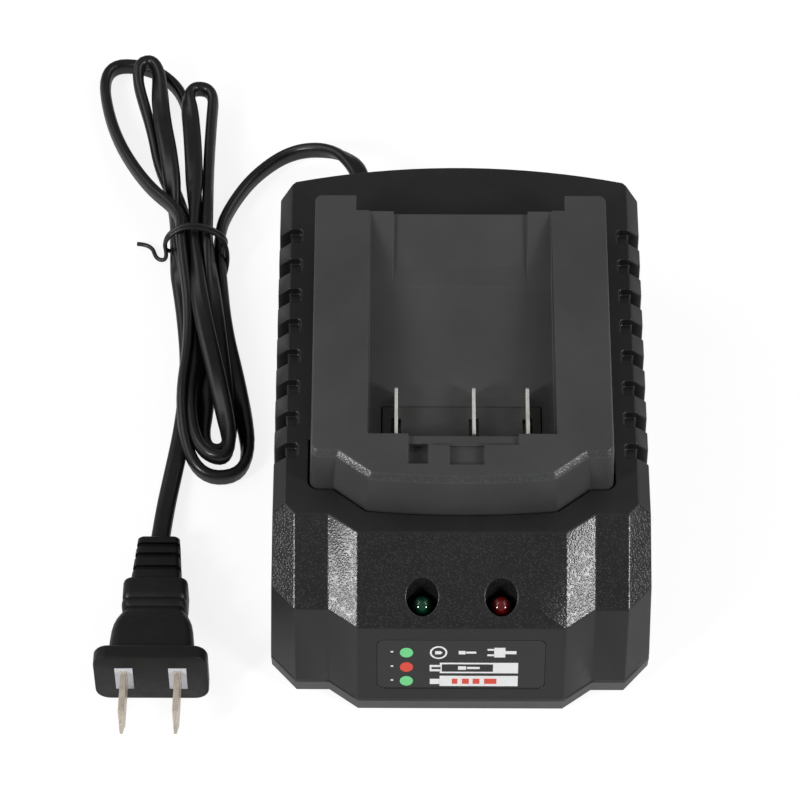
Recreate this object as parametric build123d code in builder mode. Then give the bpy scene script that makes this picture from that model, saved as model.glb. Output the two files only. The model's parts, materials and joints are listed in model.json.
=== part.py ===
"""Mains charger for a slide-on lithium tool battery, as separate pieces.

Millimetres. X runs across the charger, +Y is its back, Z is up and the table is Z = 0.
The origin is the middle of the housing's footprint.
"""

from build123d import *
import os
from math import cos, dist, hypot, pi, radians, sin, sqrt, tan

os.makedirs("parts", exist_ok=True)

# Housing
housing_length = 132.0
housing_width = 90.2
base_height = 1.0
parting_height = 6.5
belt_height = 28.3
shelf_height = 40.8
wall = 2.3
floor_thickness = 2.2
side_draft = 1.5
shoulder = 2.8
haunch = 4.3
base_draft = 2.0
base_edge = 0.7
shadow_gap_height = 0.9
shadow_gap_depth = 0.8

# Front contour of the housing, measured from its middle and from the foremost face
nose_half_width = 24.3
cheek_inner = 31.2
cheek_outer = 39.0
cheek_setback = 5.0
corner_setback = 6.8
face_setback = 7.0
belt_setback = 18.6

# Back contour of the housing
back_bow = 4.6
back_corner = 4.1

# Tongue of the lower shell inside the top shell
lip_gap = 0.15
lip_thickness = 1.1
lip_height = 2.0

# Side vents
vent_count = 8
vent_pitch = 8.86
vent_width = 3.9
vent_from_back = 22.0
vent_pocket = 2.8
vent_pocket_depth = 2.2
vent_bottom = 21.0
vent_corner_radius = 0.9

# Vents in the base
base_vent_count = 6
base_vent_pitch = 5.0
base_vent_length = 22.0
base_vent_width = 2.2

# Lamps and their wells
lamp_spacing = 18.4
lamp_setback = 13.2
well_diameter = 7.4
well_wall = 1.2
well_bottom = 17.4
lamp_diameter = 5.0
lamp_rim_diameter = 5.8
lamp_rim_height = 1.0
lamp_height = 8.6
lamp_top = 30.2

# Label on the front face
label_width = 39.5
label_height = 15.5
label_rise = 11.35
label_recess = 0.55
label_thickness = 0.4
label_gap = 0.2
label_radius = 1.6

# Battery dock
dock_setback = 30.6
dock_height = 13.0
dock_half_width = 35.6
dock_gap = 0.4
dock_wall = 2.0
dock_skirt = 10.3
bumper_length = 19.9
bumper_ridge = 22.3
bumper_ridge_setback = 1.1
bumper_cheek = 30.1
bumper_cheek_setback = 7.1
bumper_corner_radius = 1.8
bumper_lean = 1.2
bumper_narrowing = 0.8
bumper_bevel = 1.5
bumper_bevel_setback = 1.1
bumper_bevel_narrowing = 0.6
bumper_roof = 6.5
rail_half_width = 35.2
rail_neck = 30.5
rail_flange = 3.2
rail_length = 82.3
rail_inner = 25.3
rail_roof = 2.4
rail_corner_radius = 1.6
recess_half_width = 22.0
recess_front = 14.0
recess_back = 77.9
recess_floor_depth = 9.3
recess_flat_end = 30.0
ramp_break = 64.9
ramp_break_depth = 5.3
ramp_back_depth = 1.6
strip_inner = 16.2
strip_start = 59.0
strip_start_depth = 6.1
strip_back_depth = 0.35
floor_plate = 2.0

# Pockets in the deck in front of the recess: left edge, width, setback, length and depth
deck_ledge = (-12.5, 25.6, 11.0, 3.0, 1.1)
side_pocket = (-12.5, 4.6, 5.8, 6.0, 3.0)
latch_pocket = (-3.1, 8.2, 5.6, 5.6, 1.8)

# Ears that hold the dock under the roof
ear_rows = (27.5, 73.0)
ear_length = 8.0
ear_thickness = 2.0
ear_boss_diameter = 6.0
ear_inset = 3.6

# Terminal block and blades
terminal_half_width = 18.9
terminal_length = 13.2
terminal_rise = 0.4
terminal_depth = 5.2
terminal_lip = 1.5
terminal_gap = 0.15
blade_places = {"blade_positive": -15.4, "blade_sense": 2.85, "blade_negative": 15.5}
blade_thickness = 0.8
blade_height = 4.3
blade_reach = 16.2
blade_root = 2.6
blade_tail_length = 6.0
blade_tail_drop = 4.0
blade_tip_cut = 0.9
blade_slot_width = 2.2
blade_slot_length = 7.0
blade_slot_depth = 1.6

# Feet and fasteners, as distances from the middle and from the nearest end
foot_diameter = 9.0
foot_sink = 0.8
front_foot = (27.0, 12.5)
back_foot = (31.0, 13.0)
post_inset = 8.9
post_setback = 21.0
post_diameter = 8.4
post_height = 12.6
boss_diameter = 7.0
screw_diameter = 2.9
screw_length = 14.0
screw_hole = 3.3
screw_head_diameter = 5.6
screw_head_height = 2.1
screw_head_hole = 6.6
screw_head_depth = 5.5
small_screw_diameter = 2.2
small_screw_length = 6.5
small_head_diameter = 4.2
small_head_height = 1.5
screw_gap = 0.1
drive_length = 2.6
drive_width = 0.7
drive_depth = 0.9
foot_gap = 0.1
foot_edge = 0.3

# Circuit board
board_height = 10.0
board_thickness = 1.6
board_gap = 3.2
standoff_diameter = 5.6
board_notch_gap = 0.6
front_standoff = (27.0, 26.0)
back_standoff = (33.5, 44.0)

# Mains input on the board, placed from the middle and from the back end
fuse_place = (-27.0, 33.0)
fuse_length = 20.0
fuse_diameter = 5.2
fuse_cap_length = 5.0
fuse_cap_rim = 0.4
choke_place = (-12.0, 16.0)
choke_diameter = 14.5
choke_bore = 6.0
choke_thickness = 9.0
choke_base = (17.0, 12.0, 1.6)
filter_capacitor_place = (8.0, 16.0)
filter_capacitor_size = (18.0, 8.5, 14.5)
filter_capacitor_radius = 1.0
bridge_place = (27.0, 13.0)
bridge_size = (15.0, 3.6, 11.0)
bridge_hole = 3.2
bridge_corner = 2.5
lead_spacing = 3.8
lead_width = 0.9
lead_rise = 2.5
mains_capacitor_diameter = 16.0
mains_capacitor_height = 22.0
can_edge = 0.8
can_groove_depth = 0.9
can_groove_height = 3.2

# Transformer, mains capacitor and switching parts, placed from the middle
mains_capacitor_place = (-14.0, 22.0)
transformer_place = (12.0, 18.0)
core_width = 28.0
core_depth = 11.0
core_height = 22.0
core_limb = 5.5
core_leg = 8.5
core_yoke = 4.5
core_rise = 2.2
winding_clearance = 0.3
winding_flange = 1.0
winding_flange_reach = 1.0
winding_wall = 1.2

transistor_place = (-27.0, 2.0)
diode_place = (26.0, -12.0)
optocoupler_place = (-6.0, -2.0)
package_size = (10.2, 4.5, 9.2)
package_tab_height = 15.5
package_tab_thickness = 1.3
package_hole = 3.6
package_rise = 1.0
package_lead_spacing = 2.54
sink_length = 24.0
sink_gap = 0.4
sink_thickness = 2.0
sink_fin_count = 5
sink_fin_depth = 5.0
sink_fin_thickness = 1.0

# Low-voltage parts, placed from the middle and from the front end
output_capacitor_places = ((12.0, 36.0), (21.0, 36.0))
output_capacitor_diameter = 8.0
output_capacitor_height = 14.0
optocoupler_size = (6.5, 4.6, 3.5)
chip_place = (-8.0, 36.0)
chip_size = (8.6, 3.9, 1.5)
chip_lead_pitch = 1.27
chip_lead_count = 6
chip_lead_reach = 1.0
chip_lead_thickness = 0.4
resistor_place = (-20.0, 44.0)
resistor_diameter = 4.2
resistor_length = 11.0
resistor_lead_diameter = 0.8
resistor_lead_reach = 2.5

# Cord exit in the back wall, and the bush that holds the cord there
exit_x = -25.0
exit_height = 12.5
bush_neck_radius = 3.2
bush_flange_radius = 5.0
bush_flange_thickness = 1.2
bush_boot_radius = 3.9
bush_tip_radius = 2.9
bush_boot_length = 16.0
bush_groove_count = 3
bush_groove_width = 1.2
bush_groove_depth = 0.6
bush_gap = 0.15

# Cord
cord_sides = 6
wire_sides = 6
bend_share = 0.45
plug_straight = 11.0
cord_diameter = 3.8
cord_lift = 0.1
cord_gap = 0.2
wire_diameter = 1.6
wire_spacing = 2.6
mains_lead_bend = ((6.0, 0.5), (9.5, 5.5), (13.0, 5.5))
output_lead_bend = 6.0
output_lead_sway = 4.0

# Hank: the cord folded back and forth through a tied waist. Strands lie there in slots counted from
# the right, whole ones in the lower layer and half ones in the upper.
hank_x = -67.65
hank_y = 70.0
hank_step = 4.3
hank_layer_step = 4.35
hank_middle_slot = 1.5
waist_half_length = 4.0
waist_lift = 1.4
near_share = 0.35
far_share = 0.7

# The loops in the cord's order: the side of the waist, the slots left and entered, then for each of
# the two strands how far its crown corner lies to the right, its reach and its bow, and the layers
# at the near, far, crown, far and near places
hank_loops = (
    (-1, 0.0, 3.0, (17.6, 75.1, 3.4), (-4.0, 67.0, -0.8), (0, 0, 0, 0, 0)),
    (1, 3.0, 1.0, (-27.9, 52.7, -3.3), (-5.9, 53.4, -1.4), (0, 0, 0, 0, 0)),
    (-1, 1.0, 0.5, (3.2, 63.6, 1.6), (12.9, 63.6, 1.4), (0, 0, 0, 0, 1)),
    (1, 0.5, 1.5, (5.1, 53.3, 0.5), (-4.7, 52.7, 0.6), (1, 1, 1, 1, 1)),
    (-1, 1.5, 2.0, (11.9, 68.9, -0.6), (-0.2, 67.4, 0.3), (1, 1, 1, 0, 0)),
    (1, 2.0, 2.5, (-20.8, 56.6, -0.9), (-11.3, 58.9, 0.7), (0, 1, 1, 1, 1)),
)

# Ways of the cord from the bush to the hank and from the hank to the plug
charger_bends = ((-25.8, 89.8, 12.2), (-33.0, 96.6, 9.6), (-44.5, 97.4, 6.0), (-53.4, 89.8, 3.8))
hank_start = (-57.9, 78.8, 3.6)
hank_entry = (-61.3, 70.5, 3.45)
hank_end = (-71.62, 60.0, 7.45)
plug_bends = ((-70.9, 47.0, 6.8), (-70.4, 33.0, 6.6), (-71.5, 17.0, 7.3), (-73.6, 2.0, 5.5))

# Twist tie: twice round the waist of the hank, with a free tail
tie_diameter = 1.1
tie_route = (
    (-55.2, 63.6, 2.4),
    (-56.6, 67.0, 5.0),
    (-60.4, 68.6, 10.6),
    (-74.6, 69.0, 10.6),
    (-78.2, 69.3, 4.2),
    (-75.8, 69.6, 0.75),
    (-58.9, 70.4, 0.75),
    (-56.4, 71.0, 5.2),
    (-61.0, 71.4, 10.6),
    (-74.6, 71.2, 10.6),
    (-78.6, 70.6, 5.5),
    (-79.6, 67.5, 1.6),
    (-84.0, 70.8, 1.0),
)

# Plug
plug_x = -73.2
plug_face_y = -62.0
plug_tilt = 7.5
plug_face_width = 27.0
plug_face_height = 16.6
plug_face_radius = 3.2
plug_flange_thickness = 3.0
plug_body_width = 20.0
plug_body_height = 13.6
plug_neck_width = 15.6
plug_neck_height = 10.6
body_taper = 3.5
plug_shoulder_width = 19.2
plug_shoulder_height = 12.8
plug_shoulder_start = 9.5
shoulder_taper = 14.0
plug_shoulder_end = 13.5
plug_throat_width = 17.2
plug_throat_height = 10.8
plug_throat_radius = 2.0
throat_taper = 26.0
plug_corner_radius = 2.6
plug_edge = 0.5
plug_neck_start = 17.0
plug_neck_length = 8.7
plug_boot_width = 12.2
plug_boot_height = 8.4
plug_boot_length = 14.0
boot_taper = 4.4
plug_groove_count = 3
plug_groove_pitch = 2.7
plug_groove_length = 8.0
plug_groove_width = 1.1
plug_groove_depth = 0.9
collar_groove_width = 1.4
collar_groove_depth = 0.7
collar_groove_setback = 1.8
pin_spacing = 12.7
pin_width = 6.35
pin_thickness = 1.5
pin_length = 14.6
pin_tip_length = 3.2
pin_tip_width = 3.6
carrier_width = 4.3
carrier_height = 8.0
carrier_thickness = 0.5
pin_root = 6.0
pin_tip_thickness = 0.7
pin_gap = 0.05

# Places worked out from the sizes above
half_length = housing_length / 2
half_width = housing_width / 2
front_y = -half_length
beyond = 60.0
face_slope = face_setback / (belt_height - parting_height)
belt_slope = belt_setback / (shelf_height - belt_height)
shoulder_x = half_width - tan(radians(side_draft)) * (shelf_height - parting_height) - shoulder
roof_height = shelf_height - wall
dock_y = front_y + dock_setback
deck_height = shelf_height + dock_height
rail_back_y = dock_y + rail_length
recess_front_y = dock_y + recess_front
recess_back_y = dock_y + recess_back
skirt_height = shelf_height - dock_skirt
recess_floor = deck_height - recess_floor_depth
board_top = board_height + board_thickness
lamp_y = front_y + lamp_setback
lamp_places = [(side * lamp_spacing / 2, lamp_y) for side in (-1, 1)]
post_x = half_width - post_inset
post_rows = (front_y + post_setback, half_length - post_setback)
post_places = [(x, y) for x in (-post_x, post_x) for y in post_rows]
ear_x = rail_neck + ear_inset
ear_places = [(x, dock_y + row) for x in (-ear_x, ear_x) for row in ear_rows]
foot_places = [(side * front_foot[0], front_y + front_foot[1]) for side in (-1, 1)]
foot_places += [(side * back_foot[0], half_length - back_foot[1]) for side in (-1, 1)]
standoff_places = [(side * front_standoff[0], front_y + front_standoff[1]) for side in (-1, 1)]
standoff_places += [(side * back_standoff[0], half_length - back_standoff[1]) for side in (-1, 1)]
sink_height = skirt_height - ear_thickness - small_head_height - sink_gap - board_top
face_plane = Plane((0, front_y, parting_height), x_dir=(1, 0, 0), z_dir=(0, -1, face_slope))
bow_radius = ((half_width - back_corner) ** 2 + back_bow**2) / (2 * back_bow)
exit_slope = abs(exit_x) / sqrt(bow_radius**2 - exit_x**2)
plug_sine = sin(radians(plug_tilt))
plug_cosine = cos(radians(plug_tilt))
plug_face_z = plug_face_height / 2 * plug_cosine + plug_flange_thickness * plug_sine + cord_lift
plug_length = plug_neck_start + plug_neck_length + plug_boot_length


def from_back(place):
    """A board place given from the middle and from the back end."""
    return (place[0], half_length - place[1])


def from_front(place):
    """A board place given from the middle and from the front end."""
    return (place[0], front_y + place[1])


def back_wall_y(x, inset=0.0):
    """Where the bowed back wall lies at x, moved in by inset."""
    return half_length - inset - (bow_radius - sqrt(bow_radius**2 - x**2))


def save(piece, name):
    """Labels a finished piece and writes it."""
    piece.part.label = name
    export_step(piece.part, f"parts/{name}.step")


def with_mirror(right):
    """The right-hand points of an outline and their mirror images, in order round it."""
    return right + [(-x, y) for x, y in reversed(right)]


def front_plan(inset):
    """Plan of the housing behind its front contour, running past the back."""
    cheek_y = front_y + cheek_setback
    right = [
        (nose_half_width, front_y),
        (cheek_inner, cheek_y),
        (cheek_outer, cheek_y),
        (half_width, cheek_y + corner_setback),
        (half_width, half_length + beyond),
    ]
    with BuildSketch() as plan:
        with BuildLine():
            Polyline(with_mirror(right), close=True)
        make_face()
        if inset > 0:
            offset(amount=-inset, kind=Kind.INTERSECTION)
    return plan.sketch


def back_plan(inset):
    """Plan of the housing inside its sides and its bowed back, running past the front."""
    side = half_width - inset
    back = half_length - inset
    corner = back_corner - inset * (2 - sqrt(2))
    corner_y = back - back_bow
    with BuildSketch() as plan:
        with BuildLine():
            Polyline(
                (corner - side, corner_y),
                (-side, corner_y - corner),
                (-side, front_y - beyond),
                (side, front_y - beyond),
                (side, corner_y - corner),
                (side - corner, corner_y),
            )
            ThreePointArc((side - corner, corner_y), (0, back), (corner - side, corner_y))
        make_face()
    return plan.sketch


def housing_form(inset, edge):
    """The housing above the parting line, moved in by inset, its top side edges cut by edge."""
    face_inset = inset * hypot(1, face_slope)
    belt_inset = inset * hypot(1, belt_slope)
    break_height = belt_height - (belt_inset - face_inset) / (belt_slope - face_slope)
    face_rise = break_height - parting_height
    belt_rise = shelf_height - inset - break_height
    with BuildPart() as block:
        with BuildSketch(Plane.XY.offset(parting_height)):
            add(back_plan(inset))
        extrude(amount=face_rise + belt_rise, taper=side_draft)
        top = shelf_height - inset
        side = half_width - inset - tan(radians(side_draft)) * (top - parting_height)
        with BuildSketch(Plane.XZ):
            with BuildLine():
                Polyline(
                    (side - 2 * edge, top + edge),
                    (side + edge, top + edge),
                    (side + edge, top - 2 * edge),
                    close=True,
                )
            make_face()
            mirror(about=Plane.YZ)
        extrude(amount=housing_length, both=True, mode=Mode.SUBTRACT)
    with BuildPart() as form:
        with BuildSketch(Plane.XY.offset(parting_height)):
            add(front_plan(face_inset))
        extrude(amount=face_rise * hypot(1, face_slope), dir=(0, face_slope, 1))
        with BuildSketch(Plane((0, face_slope * face_rise, break_height))):
            add(front_plan(face_inset))
        extrude(amount=belt_rise * hypot(1, belt_slope), dir=(0, belt_slope, 1))
        add(block.part, mode=Mode.INTERSECT)
    return form.part


def exit_outline(gap):
    """The notch for the bush in the back wall, seen along the cord."""
    rise = exit_height - parting_height
    with BuildSketch() as outline:
        with Locations((exit_x, exit_height)):
            Circle(bush_neck_radius + gap)
        with Locations((exit_x, exit_height - rise / 2)):
            Rectangle(2 * (bush_neck_radius + gap), rise)
    return outline.sketch


def bumper_plan(setback, narrowing):
    """Outline of the dock's front block, moved back and in as it rises."""
    side = dock_half_width - narrowing / 2
    ridge = bumper_ridge - narrowing
    ridge_y = dock_y + bumper_ridge_setback + setback
    cheek_y = dock_y + bumper_cheek_setback + setback
    right = [
        (ridge, ridge_y),
        (bumper_cheek - narrowing, cheek_y),
        (side, cheek_y),
        (side, dock_y + bumper_length),
    ]
    with BuildSketch() as outline:
        with BuildLine():
            Polyline(with_mirror(right))
            ThreePointArc((-ridge, ridge_y), (0, dock_y + setback), (ridge, ridge_y))
        make_face()
        corners = outline.vertices().filter_by(lambda v: abs(v.X) > side - 0.01 and v.Y < cheek_y + 0.01)
        fillet(corners, radius=bumper_corner_radius)
    return outline.sketch


def rail_plan(half, radius=0.0):
    """Outline of the dock behind its front block, out to half on each side."""
    right = [
        (half, dock_y + bumper_length - dock_wall),
        (half, rail_back_y),
        (rail_inner, rail_back_y),
        (rail_inner, recess_back_y),
    ]
    with BuildSketch() as outline:
        with BuildLine():
            Polyline(with_mirror(right), close=True)
        make_face()
        if radius > 0:
            fillet(outline.vertices().filter_by(lambda v: v.Y > rail_back_y - 0.01), radius=radius)
    return outline.sketch


# Top shell
inner_form = housing_form(wall, haunch)
mid_form = housing_form(wall / 2, haunch)
outer_form = housing_form(0, shoulder)

with BuildPart() as inner_posts:
    with BuildSketch(Plane.XY.offset(post_height)):
        with Locations(post_places):
            Circle(boss_diameter / 2)
    extrude(amount=shelf_height - post_height)
    with BuildSketch(Plane.XY.offset(well_bottom)):
        with Locations(lamp_places):
            Circle(well_diameter / 2 + well_wall)
    extrude(amount=shelf_height - well_bottom)
    with BuildSketch(Plane.XY.offset(skirt_height)):
        with Locations(ear_places):
            Circle(ear_boss_diameter / 2)
    extrude(amount=shelf_height - skirt_height)
    add(mid_form, mode=Mode.INTERSECT)

with BuildPart() as top_shell:
    add(outer_form)
    add(inner_form, mode=Mode.SUBTRACT)
    add(inner_posts.part)
    # Lamp wells and screw holes
    with BuildSketch(Plane.XY.offset(well_bottom - 1)):
        with Locations(lamp_places):
            Circle(well_diameter / 2)
    extrude(amount=shelf_height, mode=Mode.SUBTRACT)
    with BuildSketch(Plane.XY.offset(post_height)):
        with Locations(post_places):
            Circle(screw_diameter / 2)
    extrude(amount=screw_length - screw_head_height, mode=Mode.SUBTRACT)
    with BuildSketch(Plane.XY.offset(skirt_height)):
        with Locations(ear_places):
            Circle(small_screw_diameter / 2)
    extrude(amount=small_screw_length, mode=Mode.SUBTRACT)
    # Side vents: a shallow pocket on the roof that drops through the shoulder and the side
    vent_rows = [half_length - vent_from_back - i * vent_pitch for i in range(vent_count)]
    vent_reach = half_width - shoulder_x + 1
    pocket_x = shoulder_x - vent_pocket + (vent_pocket + vent_reach) / 2
    slot_x = shoulder_x + vent_reach / 2
    with BuildSketch(Plane.XY.offset(shelf_height - vent_pocket_depth)):
        with Locations([(side * pocket_x, y) for side in (-1, 1) for y in vent_rows]):
            RectangleRounded(vent_pocket + vent_reach, vent_width, vent_corner_radius)
    extrude(amount=vent_pocket_depth + 1, mode=Mode.SUBTRACT)
    with BuildSketch(Plane.XY.offset(vent_bottom)):
        with Locations([(side * slot_x, y) for side in (-1, 1) for y in vent_rows]):
            Rectangle(vent_reach, vent_width)
    extrude(amount=shelf_height, mode=Mode.SUBTRACT)
    # Label recess
    with BuildSketch(face_plane):
        with Locations((0, label_rise)):
            RectangleRounded(label_width, label_height, label_radius)
    extrude(amount=-label_recess, mode=Mode.SUBTRACT)
    # Opening for the dock
    with BuildSketch(Plane.XY.offset(roof_height - 1)):
        add(bumper_plan(0, 0))
        add(rail_plan(rail_neck))
        offset(amount=dock_gap, kind=Kind.INTERSECTION)
    extrude(amount=wall + 2, mode=Mode.SUBTRACT)
    # Notch for the cord's bush
    with BuildSketch(Plane.XZ.offset(-half_length)):
        add(exit_outline(bush_gap))
    extrude(amount=half_length - back_wall_y(exit_x, 2 * wall), mode=Mode.SUBTRACT)
save(top_shell, "top_shell")

# Lower shell
base_wall = wall + lip_gap + lip_thickness
step_height = parting_height - shadow_gap_height
floor_height = base_height + floor_thickness
lip_outer = housing_form(wall + lip_gap, haunch)
lip_inner = housing_form(wall + lip_gap + lip_thickness, haunch)
tab_top = exit_height - bush_neck_radius - bush_gap
bush_y = back_wall_y(exit_x)

with BuildPart() as tongue:
    add(lip_outer)
    add(lip_inner, mode=Mode.SUBTRACT)
    with BuildSketch(Plane.XY.offset(parting_height)):
        Rectangle(2 * housing_width, 2 * housing_length)
        with Locations((exit_x, half_length)):
            Rectangle(2 * (bush_flange_radius + 3 * bush_gap), 8 * wall, mode=Mode.SUBTRACT)
    extrude(amount=lip_height, mode=Mode.INTERSECT)

with BuildPart() as exit_tab:
    add(outer_form)
    add(inner_form, mode=Mode.SUBTRACT)
    with BuildSketch(Plane.XY.offset(parting_height)):
        with Locations((exit_x, half_length)):
            Rectangle(2 * bush_neck_radius, 8 * wall)
    extrude(amount=tab_top - parting_height, mode=Mode.INTERSECT)

with BuildPart() as lower_shell:
    with BuildSketch(Plane.XY.offset(step_height)):
        add(front_plan(0))
        add(back_plan(0), mode=Mode.INTERSECT)
    extrude(amount=base_height - step_height, taper=base_draft)
    chamfer(lower_shell.edges().group_by(Axis.Z)[0], length=base_edge)
    with BuildSketch(Plane.XY.offset(step_height)):
        add(front_plan(shadow_gap_depth))
        add(back_plan(shadow_gap_depth), mode=Mode.INTERSECT)
    extrude(amount=shadow_gap_height)
    with BuildSketch(Plane.XY.offset(floor_height)):
        add(front_plan(base_wall))
        add(back_plan(base_wall), mode=Mode.INTERSECT)
    extrude(amount=parting_height, mode=Mode.SUBTRACT)
    add(tongue.part)
    add(exit_tab.part)
    # Screw posts and board standoffs
    with BuildSketch(Plane.XY.offset(base_height + base_edge)):
        with Locations(post_places):
            Circle(post_diameter / 2)
    extrude(amount=post_height - base_height - base_edge)
    with BuildSketch(Plane.XY.offset(base_height + base_edge)):
        with Locations(standoff_places):
            Circle(standoff_diameter / 2)
    extrude(amount=board_height - base_height - base_edge)
    with BuildSketch(Plane.XY.offset(base_height)):
        with Locations(post_places):
            Circle(screw_hole / 2)
    extrude(amount=post_height, mode=Mode.SUBTRACT)
    with BuildSketch(Plane.XY.offset(base_height)):
        with Locations(post_places):
            Circle(screw_head_hole / 2)
    extrude(amount=screw_head_depth, mode=Mode.SUBTRACT)
    with BuildSketch(Plane.XY.offset(board_height)):
        with Locations(standoff_places):
            Circle(small_screw_diameter / 2)
    extrude(amount=board_thickness - small_screw_length, mode=Mode.SUBTRACT)
    # Seats for the feet, and vents
    with BuildSketch(Plane.XY.offset(base_height)):
        with Locations(foot_places):
            Circle(foot_diameter / 2)
    extrude(amount=foot_sink, mode=Mode.SUBTRACT)
    with BuildSketch(Plane.XY.offset(base_height)):
        with GridLocations(base_vent_pitch, 0, base_vent_count, 1):
            Rectangle(base_vent_width, base_vent_length)
    extrude(amount=floor_thickness, mode=Mode.SUBTRACT)
save(lower_shell, "lower_shell")

# Battery dock: bumper, neck and rails, then the ramped recess and the hollow under it
with BuildPart() as battery_dock:
    with BuildSketch(Plane.XY.offset(shelf_height)):
        add(bumper_plan(0, 0))
    with BuildSketch(Plane.XY.offset(deck_height - bumper_bevel)):
        add(bumper_plan(bumper_lean, bumper_narrowing))
    with BuildSketch(Plane.XY.offset(deck_height)):
        add(bumper_plan(bumper_lean + bumper_bevel_setback, bumper_narrowing + bumper_bevel_narrowing))
    loft(ruled=True)
    with BuildSketch(Plane.XY.offset(skirt_height + ear_thickness)):
        add(bumper_plan(0, 0))
    extrude(amount=dock_skirt - ear_thickness)
    with BuildSketch(Plane.XY.offset(skirt_height)):
        add(rail_plan(rail_neck))
    extrude(amount=deck_height - skirt_height)
    with BuildSketch(Plane.XY.offset(deck_height - rail_flange)):
        add(rail_plan(rail_half_width, rail_corner_radius))
    extrude(amount=rail_flange)
    # Ears under the roof bosses
    ear_width = 2 * (ear_x + ear_boss_diameter / 2)
    with BuildSketch(Plane.XY.offset(skirt_height - ear_thickness)):
        with Locations([(0, dock_y + row) for row in ear_rows]):
            RectangleRounded(ear_width, ear_length, ear_thickness)
    extrude(amount=ear_thickness)
    with BuildSketch(Plane.XY.offset(skirt_height - ear_thickness)):
        add(rail_plan(rail_neck))
    extrude(amount=ear_thickness)
    with BuildSketch(Plane.XY.offset(skirt_height - ear_thickness)):
        with Locations(ear_places):
            Circle(small_screw_diameter / 2 + bush_gap)
    extrude(amount=ear_thickness, mode=Mode.SUBTRACT)
    # Recess: a flat by the blades, then two ramps up to the back, with a strip at each side
    above = deck_height + 1
    with BuildSketch(Plane.YZ):
        with BuildLine():
            Polyline(
                (recess_front_y, above),
                (recess_front_y, recess_floor),
                (dock_y + recess_flat_end, recess_floor),
                (dock_y + ramp_break, deck_height - ramp_break_depth),
                (recess_back_y, deck_height - ramp_back_depth),
                (rail_back_y, deck_height - ramp_back_depth),
                (rail_back_y, above),
                close=True,
            )
        make_face()
    extrude(amount=strip_inner, both=True, mode=Mode.SUBTRACT)
    with BuildSketch(Plane.YZ):
        with BuildLine():
            Polyline(
                (recess_front_y, above),
                (recess_front_y, recess_floor),
                (dock_y + recess_flat_end, recess_floor),
                (dock_y + strip_start, deck_height - strip_start_depth),
                (recess_back_y, deck_height - strip_back_depth),
                (rail_back_y, deck_height - strip_back_depth),
                (rail_back_y, above),
                close=True,
            )
        make_face()
    extrude(amount=recess_half_width, both=True, mode=Mode.SUBTRACT)
    # Ledge and latch pockets
    for left, width, setback, length, depth in (deck_ledge, side_pocket, latch_pocket):
        with BuildSketch(Plane.XY.offset(deck_height - depth)):
            with Locations((left + width / 2, dock_y + setback + length / 2)):
                Rectangle(width, length)
        extrude(amount=depth + 1, mode=Mode.SUBTRACT)
    # Hollow underneath: the open skirt, the ramp's underside, the rails and the bumper
    inside = rail_neck - dock_wall
    underside = recess_floor - floor_plate
    back_inside = recess_back_y - dock_wall
    with BuildSketch(Plane.XY.offset(skirt_height - ear_thickness)):
        with Locations((0, (recess_front_y + back_inside) / 2)):
            Rectangle(2 * inside, back_inside - recess_front_y)
    extrude(amount=underside - skirt_height + ear_thickness, mode=Mode.SUBTRACT)
    with BuildSketch(Plane.YZ):
        with BuildLine():
            Polyline(
                (dock_y + recess_flat_end + floor_plate, underside),
                (back_inside, underside),
                (back_inside, deck_height - ramp_back_depth - 2 * floor_plate),
                (dock_y + ramp_break, deck_height - ramp_break_depth - floor_plate),
                close=True,
            )
        make_face()
    extrude(amount=recess_half_width - dock_wall, both=True, mode=Mode.SUBTRACT)
    rail_hollow = inside - recess_half_width - dock_wall
    rail_front = dock_y + bumper_length + dock_wall
    with BuildSketch(Plane.XY.offset(underside - 1)):
        for side in (-1, 1):
            with Locations((side * (inside - rail_hollow / 2), (rail_front + back_inside) / 2)):
                Rectangle(rail_hollow, back_inside - rail_front)
    extrude(amount=deck_height - rail_roof - underside + 1, mode=Mode.SUBTRACT)
    with BuildSketch(Plane.XY.offset(skirt_height)):
        add(bumper_plan(0, 0))
        offset(amount=-dock_wall, kind=Kind.INTERSECTION)
        with Locations((0, recess_front_y - dock_wall + housing_length / 2)):
            Rectangle(housing_width, housing_length, mode=Mode.SUBTRACT)
    extrude(amount=deck_height - bumper_roof - skirt_height, mode=Mode.SUBTRACT)
    # Opening for the terminal block in the recess floor
    with BuildSketch(Plane.XY.offset(underside - 1)):
        with Locations((0, recess_front_y + terminal_length / 2)):
            Rectangle(2 * terminal_half_width, terminal_length)
    extrude(amount=floor_plate + 2, mode=Mode.SUBTRACT)
save(battery_dock, "battery_dock")

# Terminal block, which comes up through the recess floor and carries the blades
block_half = terminal_half_width - terminal_gap
block_front = recess_front_y + terminal_gap
block_length = terminal_length - 2 * terminal_gap
block_top = recess_floor + terminal_rise
block_bottom = block_top - terminal_depth
blade_root_y = recess_front_y + blade_root
with BuildPart() as terminal_block:
    with BuildSketch(Plane.XY.offset(block_bottom)):
        with Locations((0, block_front + block_length / 2)):
            Rectangle(2 * block_half, block_length)
    extrude(amount=terminal_depth)
    chamfer(terminal_block.faces().sort_by(Axis.Z)[-1].edges(), length=terminal_gap)
    with BuildSketch(Plane.XY.offset(block_bottom)):
        with Locations((0, block_front + (block_length + terminal_lip) / 2)):
            Rectangle(2 * (block_half + terminal_lip), block_length + terminal_lip)
    extrude(amount=underside - block_bottom)
    for place in blade_places.values():
        with BuildSketch(Plane.XY.offset(block_bottom)):
            with Locations((place, blade_root_y + blade_tail_length / 2)):
                Rectangle(blade_thickness, blade_tail_length)
        extrude(amount=terminal_depth, mode=Mode.SUBTRACT)
        with BuildSketch(Plane.XY.offset(block_top - blade_slot_depth)):
            with Locations((place, blade_root_y + blade_slot_length / 2)):
                Rectangle(blade_slot_width, blade_slot_length)
        extrude(amount=blade_slot_depth, mode=Mode.SUBTRACT)
save(terminal_block, "terminal_block")

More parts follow.
